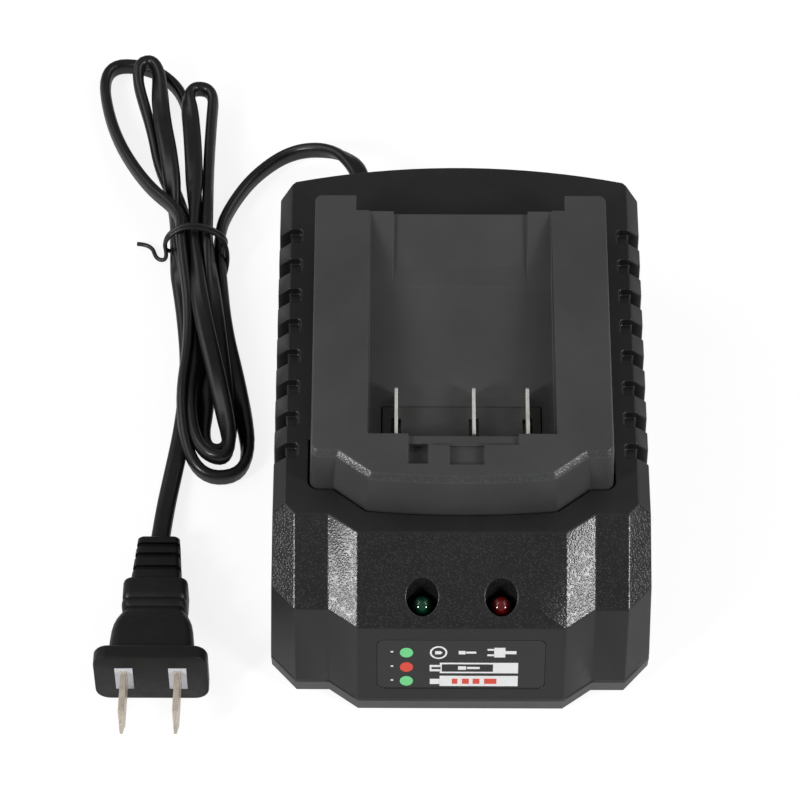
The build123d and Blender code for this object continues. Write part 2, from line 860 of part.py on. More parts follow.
blade_top = block_top + blade_height
blade_tail_bottom = block_bottom - blade_tail_drop
blade_tip_y = recess_front_y + blade_reach
for name, place in blade_places.items():
    with BuildPart() as blade:
        with BuildSketch(Plane.YZ.offset(place)):
            with BuildLine():
                Polyline(
                    (blade_root_y, blade_tail_bottom),
                    (blade_root_y + blade_tail_length, blade_tail_bottom),
                    (blade_root_y + blade_tail_length, block_top),
                    (blade_tip_y, block_top),
                    (blade_tip_y, blade_top - blade_tip_cut),
                    (blade_tip_y - blade_tip_cut, blade_top),
                    (blade_root_y, blade_top),
                    close=True,
                )
            make_face()
        extrude(amount=blade_thickness / 2, both=True)
    save(blade, name)

# Lamps on their spacers, and the label
for name, (x, y) in zip(("green_led", "red_led"), lamp_places):
    with BuildPart() as lamp:
        with BuildSketch(Plane((x, y, 0), x_dir=(1, 0, 0), z_dir=(0, -1, 0))):
            bottom = lamp_top - lamp_height
            dome_start = lamp_top - lamp_diameter / 2
            with BuildLine():
                Polyline(
                    (0, lamp_top),
                    (0, bottom),
                    (lamp_rim_diameter / 2, bottom),
                    (lamp_rim_diameter / 2, bottom + lamp_rim_height),
                    (lamp_diameter / 2, bottom + lamp_rim_height),
                    (lamp_diameter / 2, dome_start),
                )
                RadiusArc((lamp_diameter / 2, dome_start), (0, lamp_top), -lamp_diameter / 2)
            make_face()
        revolve(axis=Axis((x, y, 0), (0, 0, 1)))
    save(lamp, name)

with BuildPart() as led_spacers:
    with BuildSketch(Plane.XY.offset(board_top)):
        with Locations(lamp_places):
            Circle(lamp_rim_diameter / 2)
    extrude(amount=lamp_top - lamp_height - board_top)
save(led_spacers, "led_spacers")

with BuildPart() as label_panel:
    with BuildSketch(face_plane.offset(-label_recess)):
        with Locations((0, label_rise)):
            RectangleRounded(label_width - label_gap, label_height - label_gap, label_radius)
    extrude(amount=label_thickness)
save(label_panel, "label_panel")

# Feet and screws
with BuildPart() as rubber_feet:
    with BuildSketch():
        with Locations(foot_places):
            Circle(foot_diameter / 2 - foot_gap)
    extrude(amount=base_height + foot_sink)
    chamfer(rubber_feet.edges().group_by(Axis.Z)[0], length=foot_edge)
save(rubber_feet, "rubber_feet")


def screws(places, seat, turn, head_diameter, head_height, shank_diameter, shank_length):
    """Screws whose heads bear on the height seat, driven upwards (turn 1) or downwards (turn -1)."""
    with BuildPart() as group:
        with BuildSketch(Plane.XY.offset(seat)):
            with Locations(places):
                Circle(head_diameter / 2)
        extrude(amount=-turn * head_height)
        with BuildSketch(Plane.XY.offset(seat)):
            with Locations(places):
                RegularPolygon(shank_diameter / 2 - screw_gap, wire_sides)
        extrude(amount=turn * shank_length)
        with BuildSketch(Plane.XY.offset(seat - turn * head_height)):
            with Locations(places):
                Rectangle(drive_length, drive_width)
                Rectangle(drive_width, drive_length)
        extrude(amount=turn * drive_depth, mode=Mode.SUBTRACT)
    return group.part


head_seat = base_height + screw_head_depth
with BuildPart() as case_screws:
    add(screws(post_places, head_seat, 1, screw_head_diameter, screw_head_height, screw_diameter, screw_length))
save(case_screws, "case_screws")

small_screw = (small_head_diameter, small_head_height, small_screw_diameter, small_screw_length)
with BuildPart() as dock_screws:
    add(screws(ear_places, skirt_height - ear_thickness, 1, *small_screw))
save(dock_screws, "dock_screws")

with BuildPart() as board_screws:
    add(screws(standoff_places, board_top, -1, *small_screw))
save(board_screws, "board_screws")

# Circuit board, notched round the screw posts
with BuildPart() as circuit_board:
    with BuildSketch(Plane.XY.offset(board_height)):
        add(front_plan(wall + board_gap))
        add(back_plan(wall + board_gap), mode=Mode.INTERSECT)
        with Locations(post_places):
            Circle(post_diameter / 2 + board_notch_gap, mode=Mode.SUBTRACT)
        with Locations(standoff_places):
            Circle(small_screw_diameter / 2 + screw_gap, mode=Mode.SUBTRACT)
    extrude(amount=board_thickness)
save(circuit_board, "circuit_board")

# Mains input parts
fuse_x, fuse_y = from_back(fuse_place)
fuse_axis = board_top + fuse_diameter / 2 + fuse_cap_rim
with BuildPart() as fuse:
    with Locations((fuse_x, fuse_y, fuse_axis)):
        Cylinder(radius=fuse_diameter / 2, height=fuse_length, rotation=(90, 0, 0))
    cap_shift = (fuse_length - fuse_cap_length) / 2
    with Locations((fuse_x, fuse_y - cap_shift, fuse_axis), (fuse_x, fuse_y + cap_shift, fuse_axis)):
        Cylinder(radius=fuse_diameter / 2 + fuse_cap_rim, height=fuse_cap_length, rotation=(90, 0, 0))
save(fuse, "fuse")

choke_x, choke_y = from_back(choke_place)
with BuildPart() as filter_choke:
    with BuildSketch(Plane.XZ.offset(-choke_y)):
        with Locations((choke_x, board_top + choke_base[2] + choke_diameter / 2)):
            Circle(choke_diameter / 2)
            Circle(choke_bore / 2, mode=Mode.SUBTRACT)
    extrude(amount=choke_thickness / 2, both=True)
    rims = filter_choke.edges().filter_by(GeomType.CIRCLE).sort_by(SortBy.RADIUS)[-2:]
    chamfer(rims, length=choke_thickness / 5)
    with BuildSketch(Plane.XY.offset(board_top)):
        with Locations((choke_x, choke_y)):
            Rectangle(choke_base[0], choke_base[1])
    extrude(amount=2 * choke_base[2])
save(filter_choke, "filter_choke")

with BuildPart() as filter_capacitor:
    with BuildSketch(Plane.XY.offset(board_top)):
        with Locations(from_back(filter_capacitor_place)):
            RectangleRounded(filter_capacitor_size[0], filter_capacitor_size[1], filter_capacitor_radius)
    extrude(amount=filter_capacitor_size[2])
    chamfer(filter_capacitor.faces().sort_by(Axis.Z)[-1].edges(), length=filter_capacitor_radius / 2)
save(filter_capacitor, "filter_capacitor")

bridge_x, bridge_y = from_back(bridge_place)
bridge_bottom = board_top + lead_rise
with BuildPart() as bridge_rectifier:
    with BuildSketch(Plane.XY.offset(bridge_bottom)):
        with Locations((bridge_x, bridge_y)):
            Rectangle(bridge_size[0], bridge_size[1])
    extrude(amount=bridge_size[2])
    corner = bridge_rectifier.edges().filter_by(Axis.Y).sort_by(Axis.Z)[-2:].sort_by(Axis.X)[:1]
    chamfer(corner, length=bridge_corner)
    with BuildSketch(Plane.XZ.offset(-bridge_y)):
        with Locations((bridge_x, bridge_bottom + bridge_size[2] / 2)):
            Circle(bridge_hole / 2)
    extrude(amount=bridge_size[1], both=True, mode=Mode.SUBTRACT)
    with BuildSketch(Plane.XY.offset(board_top)):
        with Locations((bridge_x, bridge_y)):
            with GridLocations(lead_spacing, 0, 4, 1):
                Rectangle(lead_width, lead_width / 2)
    extrude(amount=lead_rise)
save(bridge_rectifier, "bridge_rectifier")


def can(place, diameter, height):
    """An upright electrolytic capacitor with its rolled groove near the board."""
    x, y = place
    middle = Plane((x, y, board_top), x_dir=(1, 0, 0), z_dir=(0, -1, 0))
    with BuildPart() as form:
        with BuildSketch(middle):
            with Locations((diameter / 4, height / 2)):
                Rectangle(diameter / 2, height)
        revolve(axis=Axis((x, y, 0), (0, 0, 1)))
        chamfer(form.edges().filter_by(GeomType.CIRCLE).sort_by(Axis.Z)[-1:], length=can_edge)
        with BuildSketch(middle):
            with Locations((diameter / 2, can_groove_height)):
                Rectangle(can_groove_depth, can_groove_depth, rotation=45)
        revolve(axis=Axis((x, y, 0), (0, 0, 1)), mode=Mode.SUBTRACT)
    return form.part


with BuildPart() as mains_capacitor:
    add(can(mains_capacitor_place, mains_capacitor_diameter, mains_capacitor_height))
save(mains_capacitor, "mains_capacitor")

with BuildPart() as output_capacitors:
    for place in output_capacitor_places:
        add(can(from_front(place), output_capacitor_diameter, output_capacitor_height))
save(output_capacitors, "output_capacitors")

# Transformer: a closed core round its middle leg, and the bobbin and winding on that leg
core_x, core_y = transformer_place
core_bottom = board_top + core_rise
window_width = (core_width - 2 * core_limb - core_leg) / 2
window_height = core_height - 2 * core_yoke
window_x = (core_leg + window_width) / 2
with BuildPart() as transformer_core:
    with BuildSketch(Plane.XZ.offset(-core_y)):
        with Locations((core_x, core_bottom + core_height / 2)):
            Rectangle(core_width, core_height)
        with Locations([(core_x + side * window_x, core_bottom + core_height / 2) for side in (-1, 1)]):
            Rectangle(window_width, window_height, mode=Mode.SUBTRACT)
    extrude(amount=core_depth / 2, both=True)
save(transformer_core, "transformer_core")

bobbin_reach = window_width - winding_clearance
bobbin_width = core_leg + 2 * bobbin_reach
bobbin_depth = core_depth + 2 * bobbin_reach
bobbin_bottom = core_bottom + core_yoke + winding_clearance
bobbin_height = window_height - 2 * winding_clearance
with BuildPart() as transformer_winding:
    with BuildSketch(Plane.XY.offset(bobbin_bottom)):
        with Locations(transformer_place):
            RectangleRounded(bobbin_width, bobbin_depth, winding_flange_reach)
    extrude(amount=winding_flange)
    with BuildSketch(Plane.XY.offset(bobbin_bottom)):
        with Locations(transformer_place):
            RectangleRounded(
                bobbin_width - 2 * winding_flange_reach,
                bobbin_depth - 2 * winding_flange_reach,
                winding_flange_reach,
            )
    extrude(amount=bobbin_height)
    with BuildSketch(Plane.XY.offset(bobbin_bottom + bobbin_height - winding_flange)):
        with Locations(transformer_place):
            RectangleRounded(bobbin_width, bobbin_depth, winding_flange_reach)
    extrude(amount=winding_flange)
    foot_shift = (core_depth + bobbin_reach) / 2 + winding_clearance / 2
    with BuildSketch(Plane.XY.offset(board_top)):
        with Locations([(core_x, core_y + side * foot_shift) for side in (-1, 1)]):
            Rectangle(bobbin_width, bobbin_reach - winding_clearance)
    extrude(amount=bobbin_bottom + winding_flange - board_top)
    with BuildSketch(Plane.XY.offset(bobbin_bottom)):
        with Locations(transformer_place):
            Rectangle(core_leg + 2 * winding_clearance, core_depth + 2 * winding_clearance)
    extrude(amount=bobbin_height, mode=Mode.SUBTRACT)
save(transformer_winding, "transformer_winding")


def power_package(place, side):
    """A tab package standing on its leads, its tab turned away from side along X."""
    x, y = place
    thickness_width, body_thickness, body_height = package_size
    bottom = board_top + package_rise
    top = bottom + package_tab_height
    with BuildPart() as form:
        with BuildSketch(Plane.XY.offset(bottom)):
            with Locations((x + side * package_tab_thickness / 2, y)):
                Rectangle(package_tab_thickness, thickness_width)
        extrude(amount=package_tab_height)
        with BuildSketch(Plane.XY.offset(bottom)):
            with Locations((x + side * body_thickness / 2, y)):
                Rectangle(body_thickness, thickness_width)
        extrude(amount=body_height)
        with BuildSketch(Plane.YZ.offset(x)):
            with Locations((y, (bottom + body_height + top) / 2)):
                Circle(package_hole / 2)
        extrude(amount=2 * package_tab_thickness, both=True, mode=Mode.SUBTRACT)
        with BuildSketch(Plane.XY.offset(board_top)):
            with Locations((x + side * body_thickness / 2, y)):
                with GridLocations(0, package_lead_spacing, 1, 3):
                    Rectangle(lead_width / 2, lead_width)
        extrude(amount=package_rise)
    return form.part


def heat_sink(place, side):
    """A finned plate behind a tab package, its fins turned away from side along X."""
    x, y = place
    with BuildPart() as form:
        with BuildSketch(Plane.XY.offset(board_top)):
            with Locations((x - side * sink_thickness / 2, y)):
                Rectangle(sink_thickness, sink_length)
            fin_pitch = (sink_length - sink_fin_thickness) / (sink_fin_count - 1)
            with Locations((x - side * (sink_thickness + sink_fin_depth / 2), y)):
                with GridLocations(0, fin_pitch, 1, sink_fin_count):
                    Rectangle(sink_fin_depth, sink_fin_thickness)
        extrude(amount=sink_height)
    return form.part


with BuildPart() as switching_transistor:
    add(power_package(transistor_place, 1))
save(switching_transistor, "switching_transistor")

with BuildPart() as transistor_heat_sink:
    add(heat_sink(transistor_place, 1))
save(transistor_heat_sink, "transistor_heat_sink")

with BuildPart() as output_diode:
    add(power_package(diode_place, -1))
save(output_diode, "output_diode")

with BuildPart() as diode_heat_sink:
    add(heat_sink(diode_place, -1))
save(diode_heat_sink, "diode_heat_sink")


def small_package(place, size, lead_count):
    """A flat package with a row of leads along each long side."""
    length, width, height = size
    with BuildPart() as form:
        with BuildSketch(Plane.XY.offset(board_top + chip_lead_thickness / 2)):
            with Locations(place):
                Rectangle(length, width)
        extrude(amount=height)
        with BuildSketch(Plane.XY.offset(board_top)):
            with Locations(place):
                with GridLocations(chip_lead_pitch, 0, lead_count, 1):
                    Rectangle(chip_lead_pitch / 2, width + 2 * chip_lead_reach)
        extrude(amount=chip_lead_thickness)
    return form.part


with BuildPart() as optocoupler:
    add(small_package(optocoupler_place, optocoupler_size, 2))
save(optocoupler, "optocoupler")

with BuildPart() as control_chip:
    add(small_package(from_front(chip_place), chip_size, chip_lead_count))
save(control_chip, "control_chip")


def bend_radii(points):
    """The radius of the arc at each corner of a route, as large as its two runs allow."""
    radii = []
    for before, corner, after in zip(points, points[1:], points[2:]):
        first = Vector(corner) - Vector(before)
        second = Vector(after) - Vector(corner)
        turn = radians(first.get_angle(second))
        radii.append(bend_share * min(first.length, second.length) / tan(turn / 2))
    return radii


def tube(points, radius, sides):
    """A many-sided tube along straight runs joined by tangent arcs."""
    with BuildPart() as form:
        with BuildLine() as route:
            FilletPolyline(*points, radius=bend_radii(points))
        with BuildSketch(Plane(origin=route.line @ 0, z_dir=route.line % 0)):
            RegularPolygon(radius, sides)
        sweep()
    return form.part


resistor_x, resistor_y = from_front(resistor_place)
resistor_axis = board_top + resistor_diameter / 2
resistor_reach = resistor_length / 2 + resistor_lead_reach
with BuildPart() as sense_resistor:
    add(
        tube(
            [
                (resistor_x - resistor_reach, resistor_y, board_top),
                (resistor_x - resistor_reach, resistor_y, resistor_axis),
                (resistor_x + resistor_reach, resistor_y, resistor_axis),
                (resistor_x + resistor_reach, resistor_y, board_top),
            ],
            resistor_lead_diameter / 2,
            wire_sides,
        )
    )
    with Locations((resistor_x, resistor_y, resistor_axis)):
        Cylinder(radius=resistor_diameter / 2, height=resistor_length, rotation=(0, 90, 0))
save(sense_resistor, "sense_resistor")

# Wires from the board up to the blades
tail_y = blade_root_y + blade_tail_length / 2
with BuildPart() as output_leads:
    for place in blade_places.values():
        route = [
            (place, tail_y + output_lead_sway, board_top),
            (place, tail_y + output_lead_sway, board_top + output_lead_bend),
            (place, tail_y, blade_tail_bottom - output_lead_bend),
            (place, tail_y, blade_tail_bottom),
        ]
        add(tube(route, wire_diameter / 2, wire_sides))
save(output_leads, "output_leads")

# Bush that holds the cord in the back wall, and the two wires from it to the board
exit_lean = tan(radians(side_draft)) * (exit_height + bush_flange_radius - parting_height)
bow_gap = bush_flange_radius * exit_slope + exit_lean + bush_gap
bush_inner = -wall - bow_gap - bush_flange_thickness
boot_start = bow_gap + bush_flange_thickness
boot_end = boot_start + bush_boot_length
cord_exit_y = bush_y + boot_end
bush_plane = Plane((exit_x, bush_y, exit_height), x_dir=(0, 1, 0), z_dir=(1, 0, 0))
bush_axis = Axis((exit_x, bush_y, exit_height), (0, 1, 0))
with BuildPart() as strain_relief:
    with BuildSketch(bush_plane):
        with BuildLine():
            Polyline(
                (bush_inner, 0),
                (boot_end, 0),
                (boot_end, bush_tip_radius),
                (boot_start, bush_boot_radius),
                (boot_start, bush_flange_radius),
                (bow_gap, bush_flange_radius),
                (bow_gap, bush_neck_radius),
                (-wall - bow_gap, bush_neck_radius),
                (-wall - bow_gap, bush_flange_radius),
                (bush_inner, bush_flange_radius),
                close=True,
            )
        make_face()
    revolve(axis=bush_axis)
    groove_pitch = bush_boot_length / (bush_groove_count + 1)
    with BuildSketch(bush_plane):
        for i in range(bush_groove_count):
            along = (i + 1) * groove_pitch
            radius = bush_boot_radius + (bush_tip_radius - bush_boot_radius) * along / bush_boot_length
            with Locations((boot_start + along, radius)):
                Rectangle(bush_groove_width, 2 * bush_groove_depth)
    revolve(axis=bush_axis, mode=Mode.SUBTRACT)
save(strain_relief, "strain_relief")

with BuildPart() as mains_leads:
    for side in (-1, 1):
        wire_x = exit_x + side * wire_spacing / 2
        lead_y = bush_y + bush_inner
        route = [(wire_x, lead_y, exit_height + mains_lead_bend[0][1])]
        route += [(wire_x, lead_y - reach, exit_height + rise) for reach, rise in mains_lead_bend]
        route += [(wire_x, lead_y - mains_lead_bend[-1][0], board_top)]
        add(tube(route, wire_diameter / 2, wire_sides))
save(mains_leads, "mains_leads")

# Cord from the bush to the hank, and from the hank to the plug
plug_plane = Plane(
    (plug_x, plug_face_y, plug_face_z), x_dir=(1, 0, 0), z_dir=(0, -plug_cosine, plug_sine)
)
plug_tail = plug_plane.offset(-plug_length).origin
plug_approach = plug_plane.offset(-plug_length - plug_straight).origin
charger_route = [(exit_x, cord_exit_y + cord_gap, exit_height), *charger_bends, hank_start]
plug_route = [hank_end, *plug_bends, tuple(plug_approach), tuple(plug_tail)]


def layer_height(layer):
    """The height of the cord's middle in a layer of the hank, away from the waist."""
    return cord_lift + cord_diameter / 2 + layer * hank_layer_step


def waist_place(slot, side):
    """Where the strand in a slot passes one end of the waist."""
    layer = 0 if slot == int(slot) else 1
    x = hank_x + (hank_middle_slot - slot) * hank_step
    return (x, hank_y + side * waist_half_length, layer_height(layer) + waist_lift)


def strand_point(slot, side, corner, share, layer):
    """A point of a strand, at a share of the way from the waist to its crown corner."""
    shift, reach, bow = corner
    start_x = waist_place(slot, side)[0]
    x = start_x + (hank_x + shift - start_x) * share + bow * sin(pi * share)
    y = hank_y + side * (waist_half_length + (reach - waist_half_length) * share)
    return (x, y, layer_height(layer))


def hank_route():
    """The cord's way through the hank, loop after loop."""
    points = [hank_start, hank_entry]
    for number, (side, leaving, entering, out, back, layers) in enumerate(hank_loops):
        if number > 0:
            points.append(waist_place(leaving, side))
        for share, layer in zip((near_share, far_share, 1), layers):
            points.append(strand_point(leaving, side, out, share, layer))
        for share, layer in zip((1, far_share, near_share), layers[2:]):
            points.append(strand_point(entering, side, back, share, layer))
        points.append(waist_place(entering, side))
    points += [waist_place(entering, -side), hank_end]
    return points


def least_gap(wire, diameter):
    """The least gap between two stretches of one tube that aren't neighbours."""
    step = diameter / 3
    count = round(wire.length / step)
    places = [tuple(wire @ (i / count)) for i in range(count + 1)]
    neighbours = round(pi * diameter / step)
    apart = [
        dist(first, second) for i, first in enumerate(places) for second in places[i + neighbours :]
    ]
    return min(apart) - diameter


section_area = cord_sides / 2 * (cord_diameter / 2) ** 2 * sin(2 * pi / cord_sides)
cord_routes = {"cord_charger_run": charger_route, "cord_hank": hank_route(), "cord_plug_run": plug_route}
for name, route in cord_routes.items():
    with BuildPart() as cord:
        add(tube(route, cord_diameter / 2, cord_sides))
    save(cord, name)
    with BuildLine() as middle:
        FilletPolyline(*route, radius=bend_radii(route))
    wire = middle.wires()[0]
    share = cord.part.volume / (wire.length * section_area)
    print(name, "length", round(wire.length, 1), "of its volume", round(share, 3))
    print(name, "bend radii", [round(radius, 1) for radius in bend_radii(route)])
    if name == "cord_hank":
        print(name, "least gap to itself", round(least_gap(wire, cord_diameter), 2))

# Twist tie
with BuildPart() as twist_tie:
    add(tube(tie_route, tie_diameter / 2, wire_sides))
save(twist_tie, "twist_tie")

# Plug: flanged face, rounded shoulders, collar and grooved boot
with BuildPart() as plug_collar:
    with BuildSketch(plug_plane.offset(-plug_neck_start)):
        RectangleRounded(plug_neck_width, plug_neck_height, plug_corner_radius)
    extrude(amount=-plug_neck_length)
    collar_ends = plug_collar.faces().sort_by(Axis(plug_plane.origin, plug_plane.z_dir))
    chamfer(collar_ends[0].edges() + collar_ends[-1].edges(), length=plug_edge)

with BuildPart() as plug_body:
    with BuildSketch(plug_plane.offset(-plug_flange_thickness)):
        RectangleRounded(plug_face_width, plug_face_height, plug_face_radius)
    extrude(amount=plug_flange_thickness)
    flange_ends = plug_body.faces().sort_by(Axis(plug_plane.origin, plug_plane.z_dir))
    chamfer(flange_ends[0].edges() + flange_ends[-1].edges(), length=plug_edge)
    with BuildSketch(plug_plane.offset(-plug_flange_thickness)):
        RectangleRounded(plug_body_width, plug_body_height, plug_corner_radius)
    extrude(amount=plug_flange_thickness - plug_shoulder_start, taper=body_taper)
    with BuildSketch(plug_plane.offset(-plug_shoulder_start)):
        RectangleRounded(plug_shoulder_width, plug_shoulder_height, plug_corner_radius)
    extrude(amount=plug_shoulder_start - plug_shoulder_end, taper=shoulder_taper)
    with BuildSketch(plug_plane.offset(-plug_shoulder_end)):
        RectangleRounded(plug_throat_width, plug_throat_height, plug_throat_radius)
    extrude(amount=plug_shoulder_end - plug_neck_start, taper=throat_taper)
    add(plug_collar.part)
    with BuildSketch(plug_plane.offset(-plug_neck_start - plug_neck_length)):
        RectangleRounded(plug_boot_width, plug_boot_height, plug_corner_radius)
    extrude(amount=-plug_boot_length, taper=boot_taper)
    # Grooves across the boot and the collar
    boot_fall = tan(radians(boot_taper))
    for i in range(plug_groove_count):
        setback = plug_length - (i + 1) * plug_groove_pitch
        rise = plug_boot_height / 2 - boot_fall * (plug_boot_length - (i + 1) * plug_groove_pitch)
        with BuildSketch(plug_plane.offset(-setback)):
            with Locations((0, rise), (0, -rise)):
                Rectangle(plug_groove_length, 2 * plug_groove_depth)
        extrude(amount=plug_groove_width, mode=Mode.SUBTRACT)
    with BuildSketch(plug_plane.offset(-plug_neck_start - collar_groove_setback - collar_groove_width)):
        with Locations((0, plug_neck_height / 2)):
            Rectangle(plug_boot_width, 2 * collar_groove_depth)
    extrude(amount=collar_groove_width, mode=Mode.SUBTRACT)
    # Seats for the white carriers and the pins
    pin_places = [(side * pin_spacing / 2, 0) for side in (-1, 1)]
    with BuildSketch(plug_plane.offset(-carrier_thickness)):
        with Locations(pin_places):
            Rectangle(carrier_width, carrier_height)
    extrude(amount=carrier_thickness, mode=Mode.SUBTRACT)
    with BuildSketch(plug_plane.offset(-pin_root)):
        with Locations(pin_places):
            Rectangle(pin_thickness, pin_width)
    extrude(amount=pin_root, mode=Mode.SUBTRACT)
save(plug_body, "plug_body")

with BuildPart() as plug_pin_carriers:
    with BuildSketch(plug_plane.offset(-carrier_thickness)):
        with Locations(pin_places):
            Rectangle(carrier_width - pin_gap, carrier_height - pin_gap)
            Rectangle(pin_thickness + pin_gap, pin_width + pin_gap, mode=Mode.SUBTRACT)
    extrude(amount=carrier_thickness)
save(plug_pin_carriers, "plug_pin_carriers")

with BuildPart() as plug_blades:
    for place in pin_places:
        with BuildSketch(plug_plane.offset(-pin_root)):
            with Locations(place):
                Rectangle(pin_thickness - pin_gap, pin_width - pin_gap)
        extrude(amount=pin_root + pin_length - pin_tip_length)
        with BuildSketch(plug_plane.offset(pin_length - pin_tip_length)):
            with Locations(place):
                Rectangle(pin_thickness - pin_gap, pin_width - pin_gap)
        with BuildSketch(plug_plane.offset(pin_length)):
            with Locations(place):
                Rectangle(pin_tip_thickness, pin_tip_width)
        loft(ruled=True)
save(plug_blades, "plug_blades")
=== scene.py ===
"""Looks of the mains charger: its moulded plastics, its tied cord and plug, and the studio round it.

Metres, in the part's own frame: X runs across the charger, +Y is its back and the table is Z = 0.
Sizes are written in millimetres and brought to metres by mm.
"""

import json
from math import copysign, cos, pi, radians, sin, tan

import bmesh
import bpy
from mathutils import Matrix, Vector


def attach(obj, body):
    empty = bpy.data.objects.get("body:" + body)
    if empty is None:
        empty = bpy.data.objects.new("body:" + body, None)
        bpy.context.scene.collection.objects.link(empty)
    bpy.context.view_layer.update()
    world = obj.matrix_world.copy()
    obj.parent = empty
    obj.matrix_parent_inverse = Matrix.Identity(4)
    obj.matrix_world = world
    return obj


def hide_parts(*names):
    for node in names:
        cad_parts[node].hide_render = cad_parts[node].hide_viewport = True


mm = 0.001
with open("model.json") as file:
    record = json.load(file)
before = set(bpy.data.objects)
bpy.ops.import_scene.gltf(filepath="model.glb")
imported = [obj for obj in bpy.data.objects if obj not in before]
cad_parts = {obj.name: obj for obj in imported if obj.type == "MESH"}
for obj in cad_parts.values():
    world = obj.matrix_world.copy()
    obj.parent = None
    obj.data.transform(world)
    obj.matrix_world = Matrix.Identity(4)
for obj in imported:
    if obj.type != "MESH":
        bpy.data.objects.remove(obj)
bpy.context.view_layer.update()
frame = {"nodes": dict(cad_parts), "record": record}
nodes = frame["nodes"]


# Node-based materials, kept in finishes by name

finishes = {}

# Most of a noise's values lie between these two
noise_low = 0.3
noise_high = 0.7


def new_material(name):
    """A finish with a plain shader: its node tree and the shader, to build on."""
    material = bpy.data.materials.new(name)
    material.use_nodes = True
    finishes[name] = material
    tree = material.node_tree
    tree.nodes.clear()
    output = tree.nodes.new("ShaderNodeOutputMaterial")
    shader = tree.nodes.new("ShaderNodeBsdfPrincipled")
    tree.links.new(shader.outputs["BSDF"], output.inputs["Surface"])
    return tree, shader


def set_inputs(shader, values):
    """Sets a shader's own sockets to numbers or colours."""
    for socket, value in values.items():
        shader.inputs[socket].default_value = value


def add_node(tree, kind, inputs=None, **settings):
    """A node with its settings; an input is a number, a colour or another node's output."""
    node = tree.nodes.new(kind)
    for name, value in settings.items():
        setattr(node, name, value)
    for key, value in (inputs or {}).items():
        if isinstance(value, bpy.types.NodeSocket):
            tree.links.new(value, node.inputs[key])
        else:
            node.inputs[key].default_value = value
    return node


def place_of(tree):
    """The place on the piece, in metres."""
    return add_node(tree, "ShaderNodeTexCoord").outputs["Object"]


def noise(tree, place, size, detail=2.0, roughness=0.5):
    """Cloudy noise whose blotches are about size across."""
    node = add_node(
        tree,
        "ShaderNodeTexNoise",
        {"Vector": place, "Scale": 1 / size, "Detail": detail, "Roughness": roughness},
    )
    return node.outputs["Fac"]


def between(tree, value, low, high, out_low=0.0, out_high=1.0):
    """Value spread from low and high to out_low and out_high, smooth at both ends."""
    node = add_node(
        tree,
        "ShaderNodeMapRange",
        {"Value": value, "From Min": low, "From Max": high, "To Min": out_low, "To Max": out_high},
        interpolation_type="SMOOTHSTEP",
    )
    return node.outputs["Result"]


def math_node(tree, operation, first, second):
    """The result of one sum on two values."""
    return add_node(tree, "ShaderNodeMath", {0: first, 1: second}, operation=operation).outputs[0]


def colour_mix(tree, share, first, second):
    """First colour where share is 0, second where it is 1."""
    node = add_node(tree, "ShaderNodeMix", {"Factor": share}, data_type="RGBA")
    for socket, colour in ((node.inputs[6], first), (node.inputs[7], second)):
        if isinstance(colour, bpy.types.NodeSocket):
            tree.links.new(colour, socket)
        else:
            socket.default_value = (*colour, 1.0)
    return node.outputs[2]


def clouded(tree, place, size, colour, shade, detail):
    """The colour, darker and lighter by the share shade in clouds about size across."""
    clouds = between(tree, noise(tree, place, size, detail), noise_low, noise_high)
    light = tuple(min(1.0, part * (1 + shade)) for part in colour)
    dark = tuple(part * (1 - shade) for part in colour)
    return colour_mix(tree, clouds, dark, light)


def uneven(tree, blotches, roughness, smoother, rougher, low=noise_low, high=noise_high):
    """A roughness that differs over the blotches, from smoother to rougher than its middle."""
    return between(tree, blotches, low, high, roughness - smoother, roughness + rougher)


def bump(tree, shader, height, distance):
    """Relief on the shader, distance deep where height goes from 0 to 1."""
    node = add_node(tree, "ShaderNodeBump", {"Height": height, "Distance": distance})
    tree.links.new(node.outputs["Normal"], shader.inputs["Normal"])


# Textured bands at the front: heights where each starts and is full, at its foot and at its top,
# and the same along Y, all in millimetres
belt_band = ((28.2, 28.5), (40.7, 40.5), (-31.5, -33.5))
bevel_band = ((52.25, 52.4), (53.75, 53.65), (-24.0, -26.0))


def inside_band(tree, place, foot, top, along):
    """1 inside a band at the front and 0 elsewhere."""
    axes = add_node(tree, "ShaderNodeSeparateXYZ", {"Vector": place}).outputs
    zone = 1.0
    for axis, (start, full) in (("Z", foot), ("Z", top), ("Y", along)):
        zone = math_node(tree, "MULTIPLY", between(tree, axes[axis], start * mm, full * mm), zone)
    return zone


# Large mouldings: slow clouds of tone, worn blotches, and the share of the grain in the relief
moulding_cloud = 22 * mm
moulding_shade = 0.1
worn_size = 3 * mm
grain_share = 0.35

# Pebbles of the textured bands: their size and height, and how far from its middle each one starts
# and is full, in shares of its size; then the painted glint on each, a highlight painted into the
# colour as a lighter tone, how light it is, and the bands' polish
pebble_size = 0.52 * mm
pebble_rise = 3.0
pebble_foot = 0.75
pebble_crown = 0.1
glint_foot = 0.42
glint_crown = 0.16
painted_glint_lift = 0.024
band_polish = 0.11


